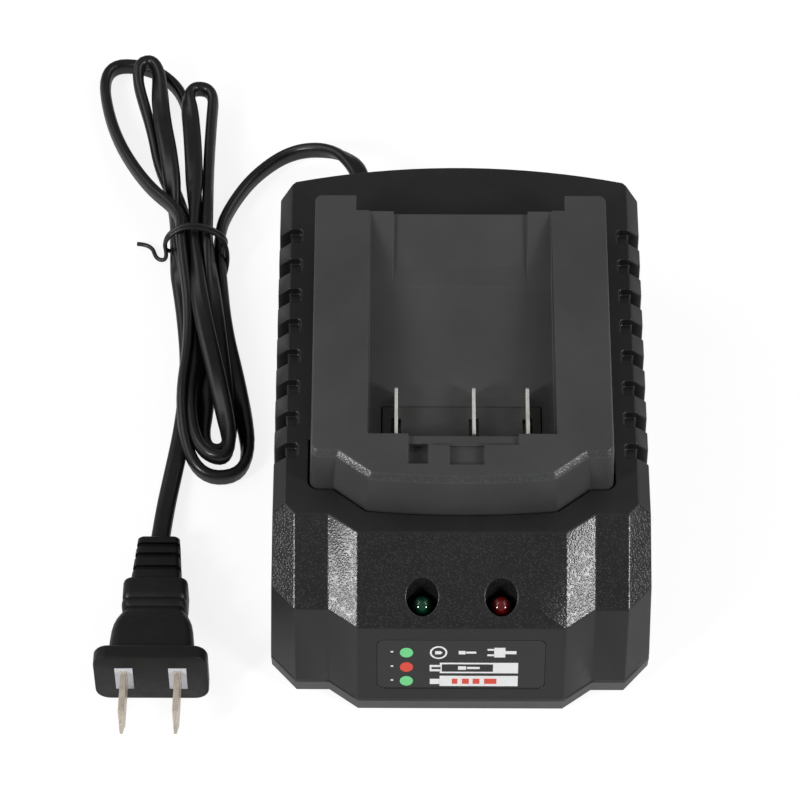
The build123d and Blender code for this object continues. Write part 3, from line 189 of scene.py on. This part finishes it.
def moulded_plastic(name, colour, roughness, grain, depth, band=None):
    """Moulded plastic with a fine spark-eroded grain, and pebbles inside the textured band, their tops
    painted lighter as glints of light.
    """
    tree, shader = new_material(name)
    place = place_of(tree)
    tone = clouded(tree, place, moulding_cloud, colour, moulding_shade, detail=2.0)
    worn = noise(tree, place, worn_size, detail=4.0, roughness=0.7)
    rough = uneven(tree, worn, roughness, smoother=0.04, rougher=0.05, low=0.25, high=0.75)
    fine = noise(tree, place, grain, detail=3.0, roughness=0.6)
    relief = math_node(tree, "MULTIPLY", fine, grain_share)
    if band is not None:
        zone = inside_band(tree, place, *band)
        spacing = {"Vector": place, "Scale": 1 / pebble_size}
        cells = add_node(tree, "ShaderNodeTexVoronoi", spacing, feature="F1").outputs["Distance"]
        pebbles = between(tree, cells, pebble_foot, pebble_crown, 0.0, pebble_rise)
        relief = math_node(tree, "ADD", relief, math_node(tree, "MULTIPLY", pebbles, zone))
        # Painted highlight: the pebbles' tops are made lighter in the base colour, as glints of light
        painted_glints = math_node(tree, "MULTIPLY", between(tree, cells, glint_foot, glint_crown), zone)
        tone = colour_mix(tree, painted_glints, tone, tuple(painted_glint_lift + part for part in colour))
        rough = math_node(tree, "SUBTRACT", rough, math_node(tree, "MULTIPLY", zone, band_polish))
    tree.links.new(tone, shader.inputs["Base Color"])
    tree.links.new(rough, shader.inputs["Roughness"])
    set_inputs(shader, {"Specular IOR Level": 0.5})
    bump(tree, shader, relief, depth)


# Smaller pieces: their clouds of tone and blotches of gloss
piece_cloud = 6 * mm
gloss_blotch = 2 * mm


def plain_plastic(
    name, colour, roughness, shade=0.12, coat=0.0, grain=0.8 * mm, depth=0.01 * mm, shine=0.5
):
    """Smooth moulded plastic or lacquer with slight cloudiness."""
    tree, shader = new_material(name)
    place = place_of(tree)
    tone = clouded(tree, place, piece_cloud, colour, shade, detail=3.0)
    blotches = noise(tree, place, gloss_blotch, detail=3.0)
    rough = uneven(tree, blotches, roughness, smoother=0.04, rougher=0.04)
    tree.links.new(tone, shader.inputs["Base Color"])
    tree.links.new(rough, shader.inputs["Roughness"])
    set_inputs(shader, {"Specular IOR Level": shine, "Coat Weight": coat, "Coat Roughness": 0.12})
    bump(tree, shader, noise(tree, place, grain), depth)


# Sheet metal: its drawn lines; its tarnish, where that starts and is full, and how deep its tone is
# where no other colour is given
drawn_line = 0.25 * mm
line_depth = 0.012 * mm
tarnish_size = 2.5 * mm
tarnish_from = 0.45
tarnish_full = 0.75
tarnish_share = 0.78


def plated_metal(name, colour, roughness, stretch=(1.0, 1.0, 1.0), tarnish=None, metallic=1.0):
    """Plated sheet metal with drawn lines, long where stretch is small, and a slight tarnish."""
    tree, shader = new_material(name)
    place = place_of(tree)
    drawn = add_node(tree, "ShaderNodeMapping", {"Vector": place, "Scale": stretch}).outputs["Vector"]
    lines = noise(tree, drawn, drawn_line, detail=3.0)
    clouds = noise(tree, place, tarnish_size, detail=3.0)
    stained = between(tree, clouds, tarnish_from, tarnish_full)
    stain = tarnish or tuple(tarnish_share * part for part in colour)
    tree.links.new(colour_mix(tree, stained, colour, stain), shader.inputs["Base Color"])
    rough = uneven(tree, lines, roughness, smoother=0.06, rougher=0.08)
    tree.links.new(rough, shader.inputs["Roughness"])
    set_inputs(shader, {"Metallic": metallic})
    bump(tree, shader, lines, line_depth)


# How deep a lamp's tone is where it is deepest
lamp_deep_share = 0.55


def clear_lamp(name, colour):
    """Tinted clear lamp epoxy, deeper in tone in places."""
    tree, shader = new_material(name)
    depth = between(tree, noise(tree, place_of(tree), gloss_blotch), noise_low, noise_high)
    deep = tuple(lamp_deep_share * part for part in colour)
    tree.links.new(colour_mix(tree, depth, deep, colour), shader.inputs["Base Color"])
    set_inputs(shader, {"Roughness": 0.06, "Coat Weight": 0.6, "Coat Roughness": 0.03})
    set_inputs(shader, {"Transmission Weight": 0.15, "IOR": 1.52})


shell_grain = {"grain": 0.28 * mm, "depth": 0.009 * mm}

moulded_plastic("shell_plastic", (0.013, 0.013, 0.0133), 0.37, **shell_grain, band=belt_band)
moulded_plastic("dock_plastic", (0.046, 0.048, 0.0465), 0.4, **shell_grain, band=bevel_band)
moulded_plastic("base_plastic", (0.078, 0.078, 0.079), 0.42, grain=0.3 * mm, depth=0.01 * mm)
plain_plastic("terminal_plastic", (0.034, 0.035, 0.034), 0.5)
plated_metal(
    "contact_nickel",
    (0.86, 0.84, 0.79),
    0.3,
    stretch=(1.0, 0.06, 1.0),
    tarnish=(0.74, 0.71, 0.66),
    metallic=0.55,
)
clear_lamp("lamp_green", (0.002, 0.05, 0.022))
clear_lamp("lamp_red", (0.14, 0.004, 0.004))
plain_plastic("label_film", (0.022, 0.0225, 0.023), 0.38, shade=0.06)
plain_plastic("foot_rubber", (0.026, 0.026, 0.026), 0.78, shade=0.2, grain=0.4 * mm, depth=0.03 * mm)
plated_metal("screw_steel", (0.62, 0.62, 0.6), 0.32)
plain_plastic("board_laminate", (0.34, 0.21, 0.09), 0.6, shade=0.1)
plated_metal("fuse_glass", (0.75, 0.76, 0.74), 0.2)
plain_plastic("ferrite", (0.045, 0.043, 0.045), 0.6, shade=0.2)
plain_plastic("winding_tape", (0.6, 0.43, 0.07), 0.4, shade=0.08)
plain_plastic("film_case", (0.55, 0.45, 0.09), 0.42, shade=0.06)
plain_plastic("can_sleeve", (0.025, 0.035, 0.08), 0.28, shade=0.08, coat=0.2)
plain_plastic("package_epoxy", (0.026, 0.026, 0.027), 0.55)
plated_metal("sink_aluminium", (0.72, 0.72, 0.73), 0.36, stretch=(1.0, 1.0, 0.05))
plain_plastic("resistor_body", (0.3, 0.48, 0.58), 0.3, shade=0.06, coat=0.3)
plain_plastic("wire_insulation", (0.42, 0.025, 0.025), 0.34, shade=0.06)
plain_plastic(
    "cord_jacket", (0.0075, 0.0075, 0.0072), 0.32, shade=0.15, grain=1.2 * mm, depth=0.008 * mm
)
plain_plastic("tie_plastic", (0.012, 0.012, 0.013), 0.36)
plain_plastic(
    "plug_plastic", (0.0085, 0.0088, 0.0085), 0.4, grain=0.5 * mm, depth=0.008 * mm, shine=0.28
)
plated_metal(
    "pin_metal",
    (0.72, 0.64, 0.53),
    0.32,
    stretch=(1.0, 0.05, 1.0),
    tarnish=(0.58, 0.51, 0.42),
    metallic=0.5,
)
plain_plastic("carrier_plastic", (0.72, 0.73, 0.8), 0.4, shade=0.03)
plain_plastic("print_white", (0.94, 0.94, 0.94), 0.5, shade=0.02)
plain_plastic("print_green", (0.2, 0.76, 0.3), 0.5, shade=0.02)
plain_plastic("print_red", (0.8, 0.09, 0.06), 0.5, shade=0.02)

slot_of = {part["node"]: part["material_slot"] for part in frame["record"]["subparts"]}


def finish_piece(piece, slot, *inks):
    """Puts a piece on the body, in the record's slot, with that slot's finish and any inks."""
    for name in (slot, *inks):
        piece.data.materials.append(finishes[name])
    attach(piece, "root")


for name, node in nodes.items():
    node.data.materials.clear()
    node.data.materials.append(finishes[slot_of[name]])


# Copies of the model's solids, smoothly shaded, and some with softened edges

# How near two corners are merged, in a solid's copy and in a tube, and how flat a join is dissolved
weld_distance = 0.002 * mm
tube_weld = 0.001 * mm
flat_join = radians(0.6)


def new_piece(name, form):
    """A named object made from a finished bmesh."""
    mesh = bpy.data.meshes.new(name)
    form.to_mesh(mesh)
    form.free()
    piece = bpy.data.objects.new(name, mesh)
    bpy.context.scene.collection.objects.link(piece)
    return piece


def smooth_by_angle(piece, angle):
    """Smooth faces, with edges sharper than angle kept crisp."""
    for face in piece.data.polygons:
        face.use_smooth = True
    piece.data.set_sharp_from_angle(angle=radians(angle))


def copied(name, source, angle=28, mend=None):
    """A smoothly shaded copy of a model node, which it stands for."""
    form = bmesh.new()
    form.from_mesh(nodes[source].data)
    bmesh.ops.remove_doubles(form, verts=form.verts, dist=weld_distance)
    bmesh.ops.dissolve_limit(form, angle_limit=flat_join, verts=form.verts, edges=form.edges)
    if mend is not None:
        mend(form)
    piece = new_piece(name, form)
    smooth_by_angle(piece, angle)
    finish_piece(piece, slot_of[source])
    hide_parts(source)
    return piece


def softened(name, source, edge, angle=28, mend=None):
    """A copy of a model node with its sharp edges rounded."""
    rounding = copied(name, source, angle, mend).modifiers.new("edges", "BEVEL")
    rounding.width = edge
    rounding.segments = 2
    rounding.limit_method = "ANGLE"
    rounding.angle_limit = radians(angle)
    rounding.use_clamp_overlap = False
    rounding.harden_normals = True


ledge_place = Vector((35.05, -17.5, 53.8)) * mm
ledge_width = 0.35 * mm


def close_ledges(form):
    """Closes the dock's two hair-thin ledges at the rails' ends, too narrow to be rounded."""
    ledge = [
        corner
        for corner in form.verts
        if (Vector((abs(corner.co.x), *corner.co.yz)) - ledge_place).length < ledge_width
    ]
    bmesh.ops.remove_doubles(form, verts=ledge, dist=ledge_width)


softened("shell_cover", "top_shell", 0.3 * mm, angle=16)
copied("base_tray", "lower_shell")
softened("dock_moulding", "battery_dock", 0.24 * mm, angle=16, mend=close_ledges)
softened("terminal_insert", "terminal_block", 0.2 * mm)
for name in ("positive", "sense", "negative"):
    softened(f"{name}_contact", f"blade_{name}", 0.16 * mm)
softened("plug_pins", "plug_blades", 0.2 * mm)
copied("pin_inserts", "plug_pin_carriers")
copied("green_lamp", "green_led")
copied("red_lamp", "red_led")
copied("cord_bush", "strain_relief")
copied("feet", "rubber_feet")


# Mains cord: a flat two-core cord on the route of the solids

cord_width = 4.7
cord_thickness = 3.0

# Turn of the flat cord at a point of its route: on edge in the tight bends and in the waist
flat = 0.0
on_edge = pi / 2

exit_point = (-25.0, 82.8, 12.5)
charger_run = (
    (*exit_point, flat),
    (-25.9, 87.2, 12.2, flat),
    (-32.5, 94.2, 9.6, on_edge),
    (-43.2, 96.8, 5.4, on_edge),
    (-52.8, 90.2, 3.5, on_edge),
    (-58.9, 80.5, 3.0, on_edge),
    (-62.0, 71.0, 3.3, on_edge),
)
plug_run = (
    (-71.0, 56.0, 2.0, flat),
    (-69.4, 46.0, 1.9, flat),
    (-67.8, 31.0, 1.9, flat),
    (-68.6, 14.0, 1.9, flat),
    (-70.6, 0.0, 2.0, flat),
)

# The plug stands on its flange's lower edge, its face turned up a little
plug_tilt = radians(7.5)
plug_height = 16.6
plug_flange = 3.0
plug_lift = 0.1
plug_point_height = plug_height / 2 * cos(plug_tilt) + plug_flange * sin(plug_tilt) + plug_lift
plug_point = Vector((-73.2, -62.0, plug_point_height))

# How far behind the plug's face the cord ends, how long it is straight there, and how far aside
# that stretch starts
plug_length = 39.7
plug_straight = 11.0
boot_shift = 0.8

# The hank's waist: its middle along Y, and half its length
waist_y = 70.0
waist_half = 4.0

# The hank's loops in the cord's order: side of the waist, X and height of the strand that leads
# from the loop back through the waist, and the way round
front = -1
back = 1
hank_loops = (
    (front, (-71.2, 8.8), (
        (-60.6, 46.0, 2.2, flat), (-55.3, 24.0, 2.0, flat), (-50.8, -1.2, 2.6, on_edge),
        (-65.0, -3.2, 2.6, on_edge), (-69.9, 15.5, 6.4, on_edge), (-67.4, 41.0, 5.4, on_edge),
    )),
    (back, (-66.15, 3.3), (
        (-81.5, 85.5, 5.6, on_edge), (-91.4, 105.5, 2.6, on_edge), (-95.2, 127.4, 2.6, on_edge),
        (-81.0, 127.0, 2.6, on_edge), (-71.0, 116.0, 2.6, on_edge), (-69.8, 93.0, 2.6, on_edge),
    )),
    (front, (-64.5, 7.7), (
        (-63.9, 45.0, 2.0, flat), (-63.4, 22.0, 1.9, flat), (-63.9, 5.4, 2.6, on_edge),
        (-56.2, 5.4, 2.6, on_edge), (-58.6, 22.0, 4.4, flat), (-61.7, 44.0, 5.4, flat),
    )),
    (back, (-67.8, 7.9), (
        (-65.0, 90.0, 5.2, on_edge), (-64.7, 106.0, 5.6, on_edge), (-64.2, 116.2, 6.6, on_edge),
        (-71.6, 116.2, 7.2, on_edge), (-69.9, 105.0, 7.4, flat), (-68.6, 90.0, 7.6, flat),
    )),
    (front, (-69.45, 3.8), (
        (-65.8, 46.5, 8.8, flat), (-59.5, 20.0, 7.8, flat), (-55.5, -0.2, 7.0, on_edge),
        (-64.2, 2.2, 6.6, on_edge), (-67.4, 17.0, 5.0, on_edge), (-64.8, 38.0, 4.4, flat),
    )),
    (back, (-72.9, 3.2), (
        (-76.2, 90.0, 1.9, flat), (-80.6, 105.0, 3.6, on_edge), (-86.2, 123.4, 7.4, on_edge),
        (-79.4, 125.6, 7.6, on_edge), (-78.2, 108.0, 7.6, flat), (-74.9, 92.0, 7.6, flat),
    )),
)


def cord_route():
    """The whole cord from its bush to the plug, with its turn at each point."""
    points = list(charger_run)
    for side, (x, z), way in hank_loops:
        points += way
        points += [(x, waist_y + end * waist_half, z, on_edge) for end in (side, -side)]
    points += plug_run
    along_plug = Vector((0, cos(plug_tilt), -sin(plug_tilt)))
    for distance, shift in ((plug_length + plug_straight, boot_shift), (plug_length, 0)):
        points.append((*(plug_point + distance * along_plug + Vector((shift, 0, 0))), flat))
    return points


def linked_curve(name, dimensions, kind, points):
    """A curve object of one spline with its points in place, and that spline."""
    data = bpy.data.curves.new(name, "CURVE")
    data.dimensions = dimensions
    spline = data.splines.new(kind)
    spline.points.add(len(points) - 1)
    for point, (x, y, z) in zip(spline.points, points):
        point.co = (x * mm, y * mm, z * mm, 1)
    curve = bpy.data.objects.new(name, data)
    bpy.context.scene.collection.objects.link(curve)
    return curve, spline


def route_curve(name, points):
    """A smooth curve whose control points are the route's points, each turned as it says."""
    curve, spline = linked_curve(name, "3D", "NURBS", [point[:3] for point in points])
    curve.data.twist_mode = "Z_UP"
    curve.data.resolution_u = 8
    for point, (*_, turn) in zip(spline.points, points):
        point.tilt = turn
    spline.order_u = 3
    spline.use_endpoint_u = True
    return curve


def section_curve(name, points):
    """A closed outline for a curve to carry."""
    curve, spline = linked_curve(name, "2D", "POLY", [(*point, 0) for point in points])
    spline.use_cyclic_u = True
    return curve


def mesh_from(curve):
    """The mesh of a curve as it stands."""
    bpy.context.view_layer.update()
    graph = bpy.context.evaluated_depsgraph_get()
    return bpy.data.meshes.new_from_object(curve.evaluated_get(graph))


def tube_piece(name, points, outline):
    """A mesh tube along the route, and the points that it follows."""
    curve = route_curve(name + "_route", points)
    line = mesh_from(curve)
    path = [tuple(vertex.co) for vertex in line.vertices]
    profile = section_curve(name + "_section", outline)
    curve.data.bevel_mode = "OBJECT"
    curve.data.bevel_object = profile
    curve.data.use_fill_caps = True
    mesh = mesh_from(curve)
    bpy.data.objects.remove(curve)
    bpy.data.objects.remove(profile)
    bpy.data.meshes.remove(line)
    form = bmesh.new()
    form.from_mesh(mesh)
    bmesh.ops.remove_doubles(form, verts=form.verts, dist=tube_weld)
    bmesh.ops.recalc_face_normals(form, faces=form.faces)
    piece = new_piece(name, form)
    smooth_by_angle(piece, angle=50)
    return piece, path


# Section of the flat cord: its valley's depth and reach, as shares, and how full its sides are
cord_facets = 20
valley_depth = 0.12
valley_reach = 0.35
side_fullness = 0.72


def two_core_outline(width, thickness):
    """The flat cord's section: two round cores side by side with a slight valley between."""
    points = []
    for i in range(cord_facets):
        turn = 2 * pi * i / cord_facets
        valley = 1 - valley_depth * max(0.0, 1 - (abs(cos(turn)) / valley_reach)) ** 2
        height = abs(sin(turn)) ** side_fullness * valley
        points.append((cos(turn) * width / 2, copysign(height, sin(turn)) * thickness / 2))
    return points


mains_cord, cord_path = tube_piece(
    "mains_cord", cord_route(), two_core_outline(cord_width, cord_thickness)
)
finish_piece(mains_cord, "cord_jacket")
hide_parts("cord_charger_run", "cord_hank", "cord_plug_run")


# Plug: a flange, shoulders, a collar with a bar across it and a boot with three grooves

# Distance behind the face, half width and half height of each station
plug_body_stations = (
    (0.2, 13.2, 8.0),
    (0.35, 13.42, 8.22),
    (0.6, 13.5, 8.3),
    (3.5, 13.5, 8.3),
    (3.9, 13.3, 8.1),
    (4.0, 13.0, 7.8),
    (4.05, 10.4, 7.1),
    (4.5, 10.1, 6.85),
    (7.5, 10.0, 6.8),
    (10.5, 9.75, 6.7),
    (12.5, 9.4, 6.5),
    (14.0, 8.9, 6.2),
    (15.5, 8.15, 5.8),
    (16.7, 7.4, 5.35),
    (17.6, 6.9, 5.0),
    (18.0, 6.8, 4.8),
    (18.1, 7.3, 4.85),
    (18.5, 7.7, 5.2),
    (19.1, 7.85, 5.4),
    (19.8, 7.85, 5.35),
    (20.2, 7.8, 5.0),
    (20.7, 7.75, 4.6),
    (21.2, 7.75, 5.05),
    (21.6, 7.8, 5.25),
    (22.2, 7.8, 5.3),
    (25.6, 7.8, 5.3),
    (26.2, 7.65, 5.15),
    (26.6, 7.3, 4.8),
    (26.7, 6.5, 4.4),
)
boot_start = 26.75
boot_end = 40.7
boot_half_width = 6.15
boot_half_height = 4.25
boot_taper = tan(radians(4.4))
groove_places = (30.2, 34.3, 37.6)
groove_half = 0.6
groove_edge = 0.12
groove_depth = 0.75
groove_side_depth = 0.3

# Rounding of the boot's end: distance before the end, and how much narrower and lower it is there
boot_rounding = ((0.6, 0, 0), (0.15, 0.35, 0.3), (0, 0.9, 0.8))
corner_radius = 3.3
corner_segments = 6


def boot_stations():
    """The boot behind the collar, narrowing to the cord, with its grooves cut in."""
    cuts = [(boot_start, 0, 0)]
    for place in groove_places:
        for reach, side_cut, top_cut in (
            (-groove_half - groove_edge, 0, 0),
            (-groove_half, groove_side_depth, groove_depth),
            (groove_half, groove_side_depth, groove_depth),
            (groove_half + groove_edge, 0, 0),
        ):
            cuts.append((place + reach, side_cut, top_cut))
    cuts += [(boot_end - before, side_cut, top_cut) for before, side_cut, top_cut in boot_rounding]
    stations = []
    for distance, side_cut, top_cut in cuts:
        thinner = (distance - boot_start) * boot_taper
        half_width = boot_half_width - thinner - side_cut
        half_height = boot_half_height - thinner - top_cut
        stations.append((distance, half_width, half_height))
    return stations


def plane_matrix(point, normal):
    """A place whose X runs across, whose Z is the normal and whose origin is point in millimetres."""
    across = Vector((1, 0, 0))
    up = Vector(normal).normalized()
    facing = Matrix((across, up.cross(across), up)).transposed().to_4x4()
    return Matrix.Translation(Vector(point) * mm) @ facing


def extruded_stations(name, stations, radius, place):
    """A solid through rounded rectangles, each given by its depth, half width and half height."""
    form = bmesh.new()
    bmesh.ops.create_grid(form, x_segments=1, y_segments=1, size=1.0)
    depth, half_width, half_height = stations[0]
    bmesh.ops.scale(form, vec=(half_width * mm, half_height * mm, 1), verts=form.verts)
    bmesh.ops.bevel(
        form,
        geom=form.verts,
        offset=radius * mm,
        offset_type="OFFSET",
        segments=corner_segments,
        profile=0.5,
        affect="VERTICES",
        material=-1,
    )
    bmesh.ops.translate(form, vec=(0, 0, -depth * mm), verts=form.verts)
    section = form.faces[:]
    for next_depth, next_width, next_height in stations[1:]:
        grown = bmesh.ops.extrude_face_region(form, geom=section)["geom"]
        section = [part for part in grown if isinstance(part, bmesh.types.BMFace)]
        corners = [part for part in grown if isinstance(part, bmesh.types.BMVert)]
        bmesh.ops.translate(form, vec=(0, 0, (depth - next_depth) * mm), verts=corners)
        bmesh.ops.scale(form, vec=(next_width / half_width, next_height / half_height, 1), verts=corners)
        depth, half_width, half_height = next_depth, next_width, next_height
    bmesh.ops.recalc_face_normals(form, faces=form.faces)
    bmesh.ops.transform(form, matrix=place, verts=form.verts)
    piece = new_piece(name, form)
    smooth_by_angle(piece, angle=38)
    return piece


plug_place = plane_matrix(plug_point, (0, -cos(plug_tilt), sin(plug_tilt)))
plug_moulding = extruded_stations(
    "plug_moulding", (*plug_body_stations, *boot_stations()), corner_radius, plug_place
)
finish_piece(plug_moulding, "plug_plastic")
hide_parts("plug_body")


# Twist tie: a thin wire, twice round the waist in one band, with a free tail

tie_radius = 0.55
tie_facets = 12
tie_route = (
    (-59.9, 59.6, 1.6, flat),
    (-58.9, 62.6, 3.0, flat),
    (-59.6, 65.2, 9.2, flat),
    (-64.0, 67.0, 11.4, flat),
    (-70.5, 67.2, 12.2, flat),
    (-75.4, 65.4, 8.8, flat),
    (-75.4, 67.0, 0.7, flat),
    (-67.5, 69.0, 0.7, flat),
    (-60.0, 68.6, 0.7, flat),
    (-59.4, 66.4, 8.8, flat),
    (-64.0, 67.9, 11.6, flat),
    (-70.5, 68.1, 12.4, flat),
    (-75.6, 66.2, 8.8, flat),
    (-74.8, 64.4, 1.4, flat),
    (-77.8, 64.6, 1.2, flat),
    (-79.2, 69.6, 1.0, flat),
    (-83.0, 69.8, 1.0, flat),
)
tie_turns = [2 * pi * i / tie_facets for i in range(tie_facets)]
tie_outline = [(tie_radius * cos(turn), tie_radius * sin(turn)) for turn in tie_turns]
tie_wire = tube_piece("tie_wire", tie_route, tie_outline)[0]
finish_piece(tie_wire, "tie_plastic")
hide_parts("twist_tie")


# Printed marks on the label, in layers a hair apart, in millimetres across and up the face

film, white, green, red = range(4)

# Foot of the front face, how far back it leans and how high it is, and where the marks' layers lie
label_foot = (0, -66.0, 6.5)
face_setback = 7.0
face_height = 21.8
print_start = -0.15
print_layer = 0.02
marks = bmesh.new()


def print_mark(corners, across, rise, layer, ink):
    """Moves the mark that was just made to its place and layer, and gives it its ink."""
    lift = print_start + layer * print_layer
    bmesh.ops.translate(marks, vec=Vector((across, rise, lift)) * mm, verts=corners)
    for face in {face for corner in corners for face in corner.link_faces}:
        face.material_index = ink


def bar(left, right, low, high, layer=1, ink=white):
    """A printed rectangle."""
    corners = bmesh.ops.create_grid(marks, x_segments=1, y_segments=1, size=0.5 * mm)["verts"]
    bmesh.ops.scale(marks, vec=(right - left, high - low, 1), verts=corners)
    print_mark(corners, (left + right) / 2, (low + high) / 2, layer, ink)


def dot(across, rise, radius, layer=1, ink=white):
    """A printed disc."""
    corners = bmesh.ops.create_circle(marks, cap_ends=True, segments=32, radius=radius * mm)["verts"]
    print_mark(corners, across, rise, layer, ink)


# Status dots with their ticks
for rise, ink in ((15.05, green), (10.4, red), (5.9, green)):
    dot(-12.8, rise, 1.55, ink=ink)
    bar(-16.5, -15.9, rise + 0.05, rise + 0.5)
# Ring with a small cell in it
dot(-5.3, 15.1, 2.05)
dot(-5.3, 15.1, 1.6, layer=2, ink=film)
bar(-6.1, -4.7, 14.6, 15.6, layer=3)
bar(-4.7, -4.4, 14.9, 15.3, layer=3)
# Arrow
bar(-0.6, 1.0, 14.55, 15.65)
bar(1.15, 3.5, 14.8, 15.45)
# Mains plug
bar(6.1, 7.8, 15.75, 16.35)
bar(6.1, 7.8, 14.0, 14.6)
bar(7.7, 10.3, 13.6, 16.7)
bar(10.3, 12.9, 14.65, 15.65)
# Cell that is charging
bar(-7.35, -4.9, 9.05, 11.1)
bar(-6.9, -4.8, 9.75, 10.45, layer=2, ink=film)
bar(-5.0, 13.4, 8.45, 11.85)
bar(-4.5, 7.5, 8.95, 11.35, layer=2, ink=film)
bar(-0.7, 1.2, 9.6, 10.75, layer=3)
bar(1.4, 4.4, 9.85, 10.55, layer=3)
# Full cell
bar(-7.3, -4.9, 4.9, 6.6)
bar(-5.0, 13.4, 4.25, 7.6)
for left, right in ((-2.1, -0.8), (0.3, 1.9), (2.8, 4.4), (5.5, 8.4)):
    bar(left, right, 5.0, 6.7, layer=2, ink=red)
label_place = plane_matrix(label_foot, (0, -1, face_setback / face_height))
bmesh.ops.transform(marks, matrix=label_place, verts=marks.verts)
label_marks = new_piece("label_marks", marks)
finish_piece(label_marks, "label_film", "print_white", "print_green", "print_red")


# Camera

camera_place = Vector((-14.11, -435.40, 708.99))
camera_target = Vector((-14.526, 7.567, 23.0))
camera_roll = Matrix.Rotation(radians(0.14), 3, "Z")

camera_data = bpy.data.cameras.new("camera")
camera_data.lens = 150.42
camera_data.sensor_width = 36.0
camera_data.clip_start = 0.01
camera = bpy.data.objects.new("camera", camera_data)
bpy.context.scene.collection.objects.link(camera)
camera.location = camera_place * mm
aim = camera_target * mm - camera.location
camera.rotation_euler = (aim.to_track_quat("-Z", "Y").to_matrix() @ camera_roll).to_euler()
bpy.context.scene.camera = camera


# Lamps: two narrow boxes light the front's slopes, and two large ones stand above the back

slopes = (0, -0.04, 0.03)
middle = (0, 0, 0.03)


def soft_box(name, place, target, width, height, power):
    """A rectangular lamp at place, turned towards target, all in metres."""
    data = bpy.data.lights.new(name, "AREA")
    data.shape = "RECTANGLE"
    data.size = width
    data.size_y = height
    data.energy = power
    lamp = bpy.data.objects.new(name, data)
    bpy.context.scene.collection.objects.link(lamp)
    lamp.location = place
    lamp.rotation_euler = (Vector(target) - Vector(place)).to_track_quat("-Z", "Y").to_euler()


soft_box("left_box", (-0.76, -0.53, 0.61), slopes, width=0.18, height=0.32, power=6.2)
soft_box("right_box", (0.79, -0.52, 0.59), slopes, width=0.18, height=0.32, power=6.3)
soft_box("upper_left_box", (-0.95, 0.3, 0.95), middle, width=0.9, height=0.9, power=3.8)
soft_box("upper_right_box", (0.95, 0.3, 0.95), middle, width=0.9, height=0.9, power=3.8)

world = bpy.data.worlds.new("studio")
bpy.context.scene.world = world
world.use_nodes = True
sky = world.node_tree
sky.nodes.clear()
surround = add_node(sky, "ShaderNodeBackground", {"Color": (1, 1, 1, 1), "Strength": 0.2})
sky_output = sky.nodes.new("ShaderNodeOutputWorld")
sky.links.new(surround.outputs[0], sky_output.inputs["Surface"])


# Floor: grey under the lamps, with a glow of its own where it is seen, straight or in a gloss

floor_reach = 3.0
floor_glow = 0.85
mirrored_share = 0.56

floor_form = bmesh.new()
bmesh.ops.create_grid(floor_form, x_segments=1, y_segments=1, size=floor_reach)
floor = new_piece("floor", floor_form)
floor_tree, floor_shader = new_material("pale_floor")
set_inputs(floor_shader, {"Base Color": (0.22, 0.22, 0.22, 1), "Roughness": 0.9})
set_inputs(floor_shader, {"Specular IOR Level": 0.0})
rays = floor_tree.nodes.new("ShaderNodeLightPath").outputs
seen = math_node(floor_tree, "MAXIMUM", rays["Is Camera Ray"], rays["Is Transmission Ray"])
mirrored = math_node(floor_tree, "MULTIPLY", rays["Is Glossy Ray"], mirrored_share)
seen = math_node(floor_tree, "MAXIMUM", seen, mirrored)
strength = math_node(floor_tree, "MULTIPLY", seen, floor_glow)
glow = add_node(floor_tree, "ShaderNodeEmission", {"Color": (1, 1, 1, 1), "Strength": strength})
lit_and_glowing = add_node(
    floor_tree, "ShaderNodeAddShader", {0: floor_shader.outputs[0], 1: glow.outputs[0]}
)
floor_output = floor_tree.nodes["Material Output"]
floor_tree.links.new(lit_and_glowing.outputs[0], floor_output.inputs["Surface"])
floor.data.materials.append(finishes["pale_floor"])

bpy.context.scene.view_settings.view_transform = "Standard"
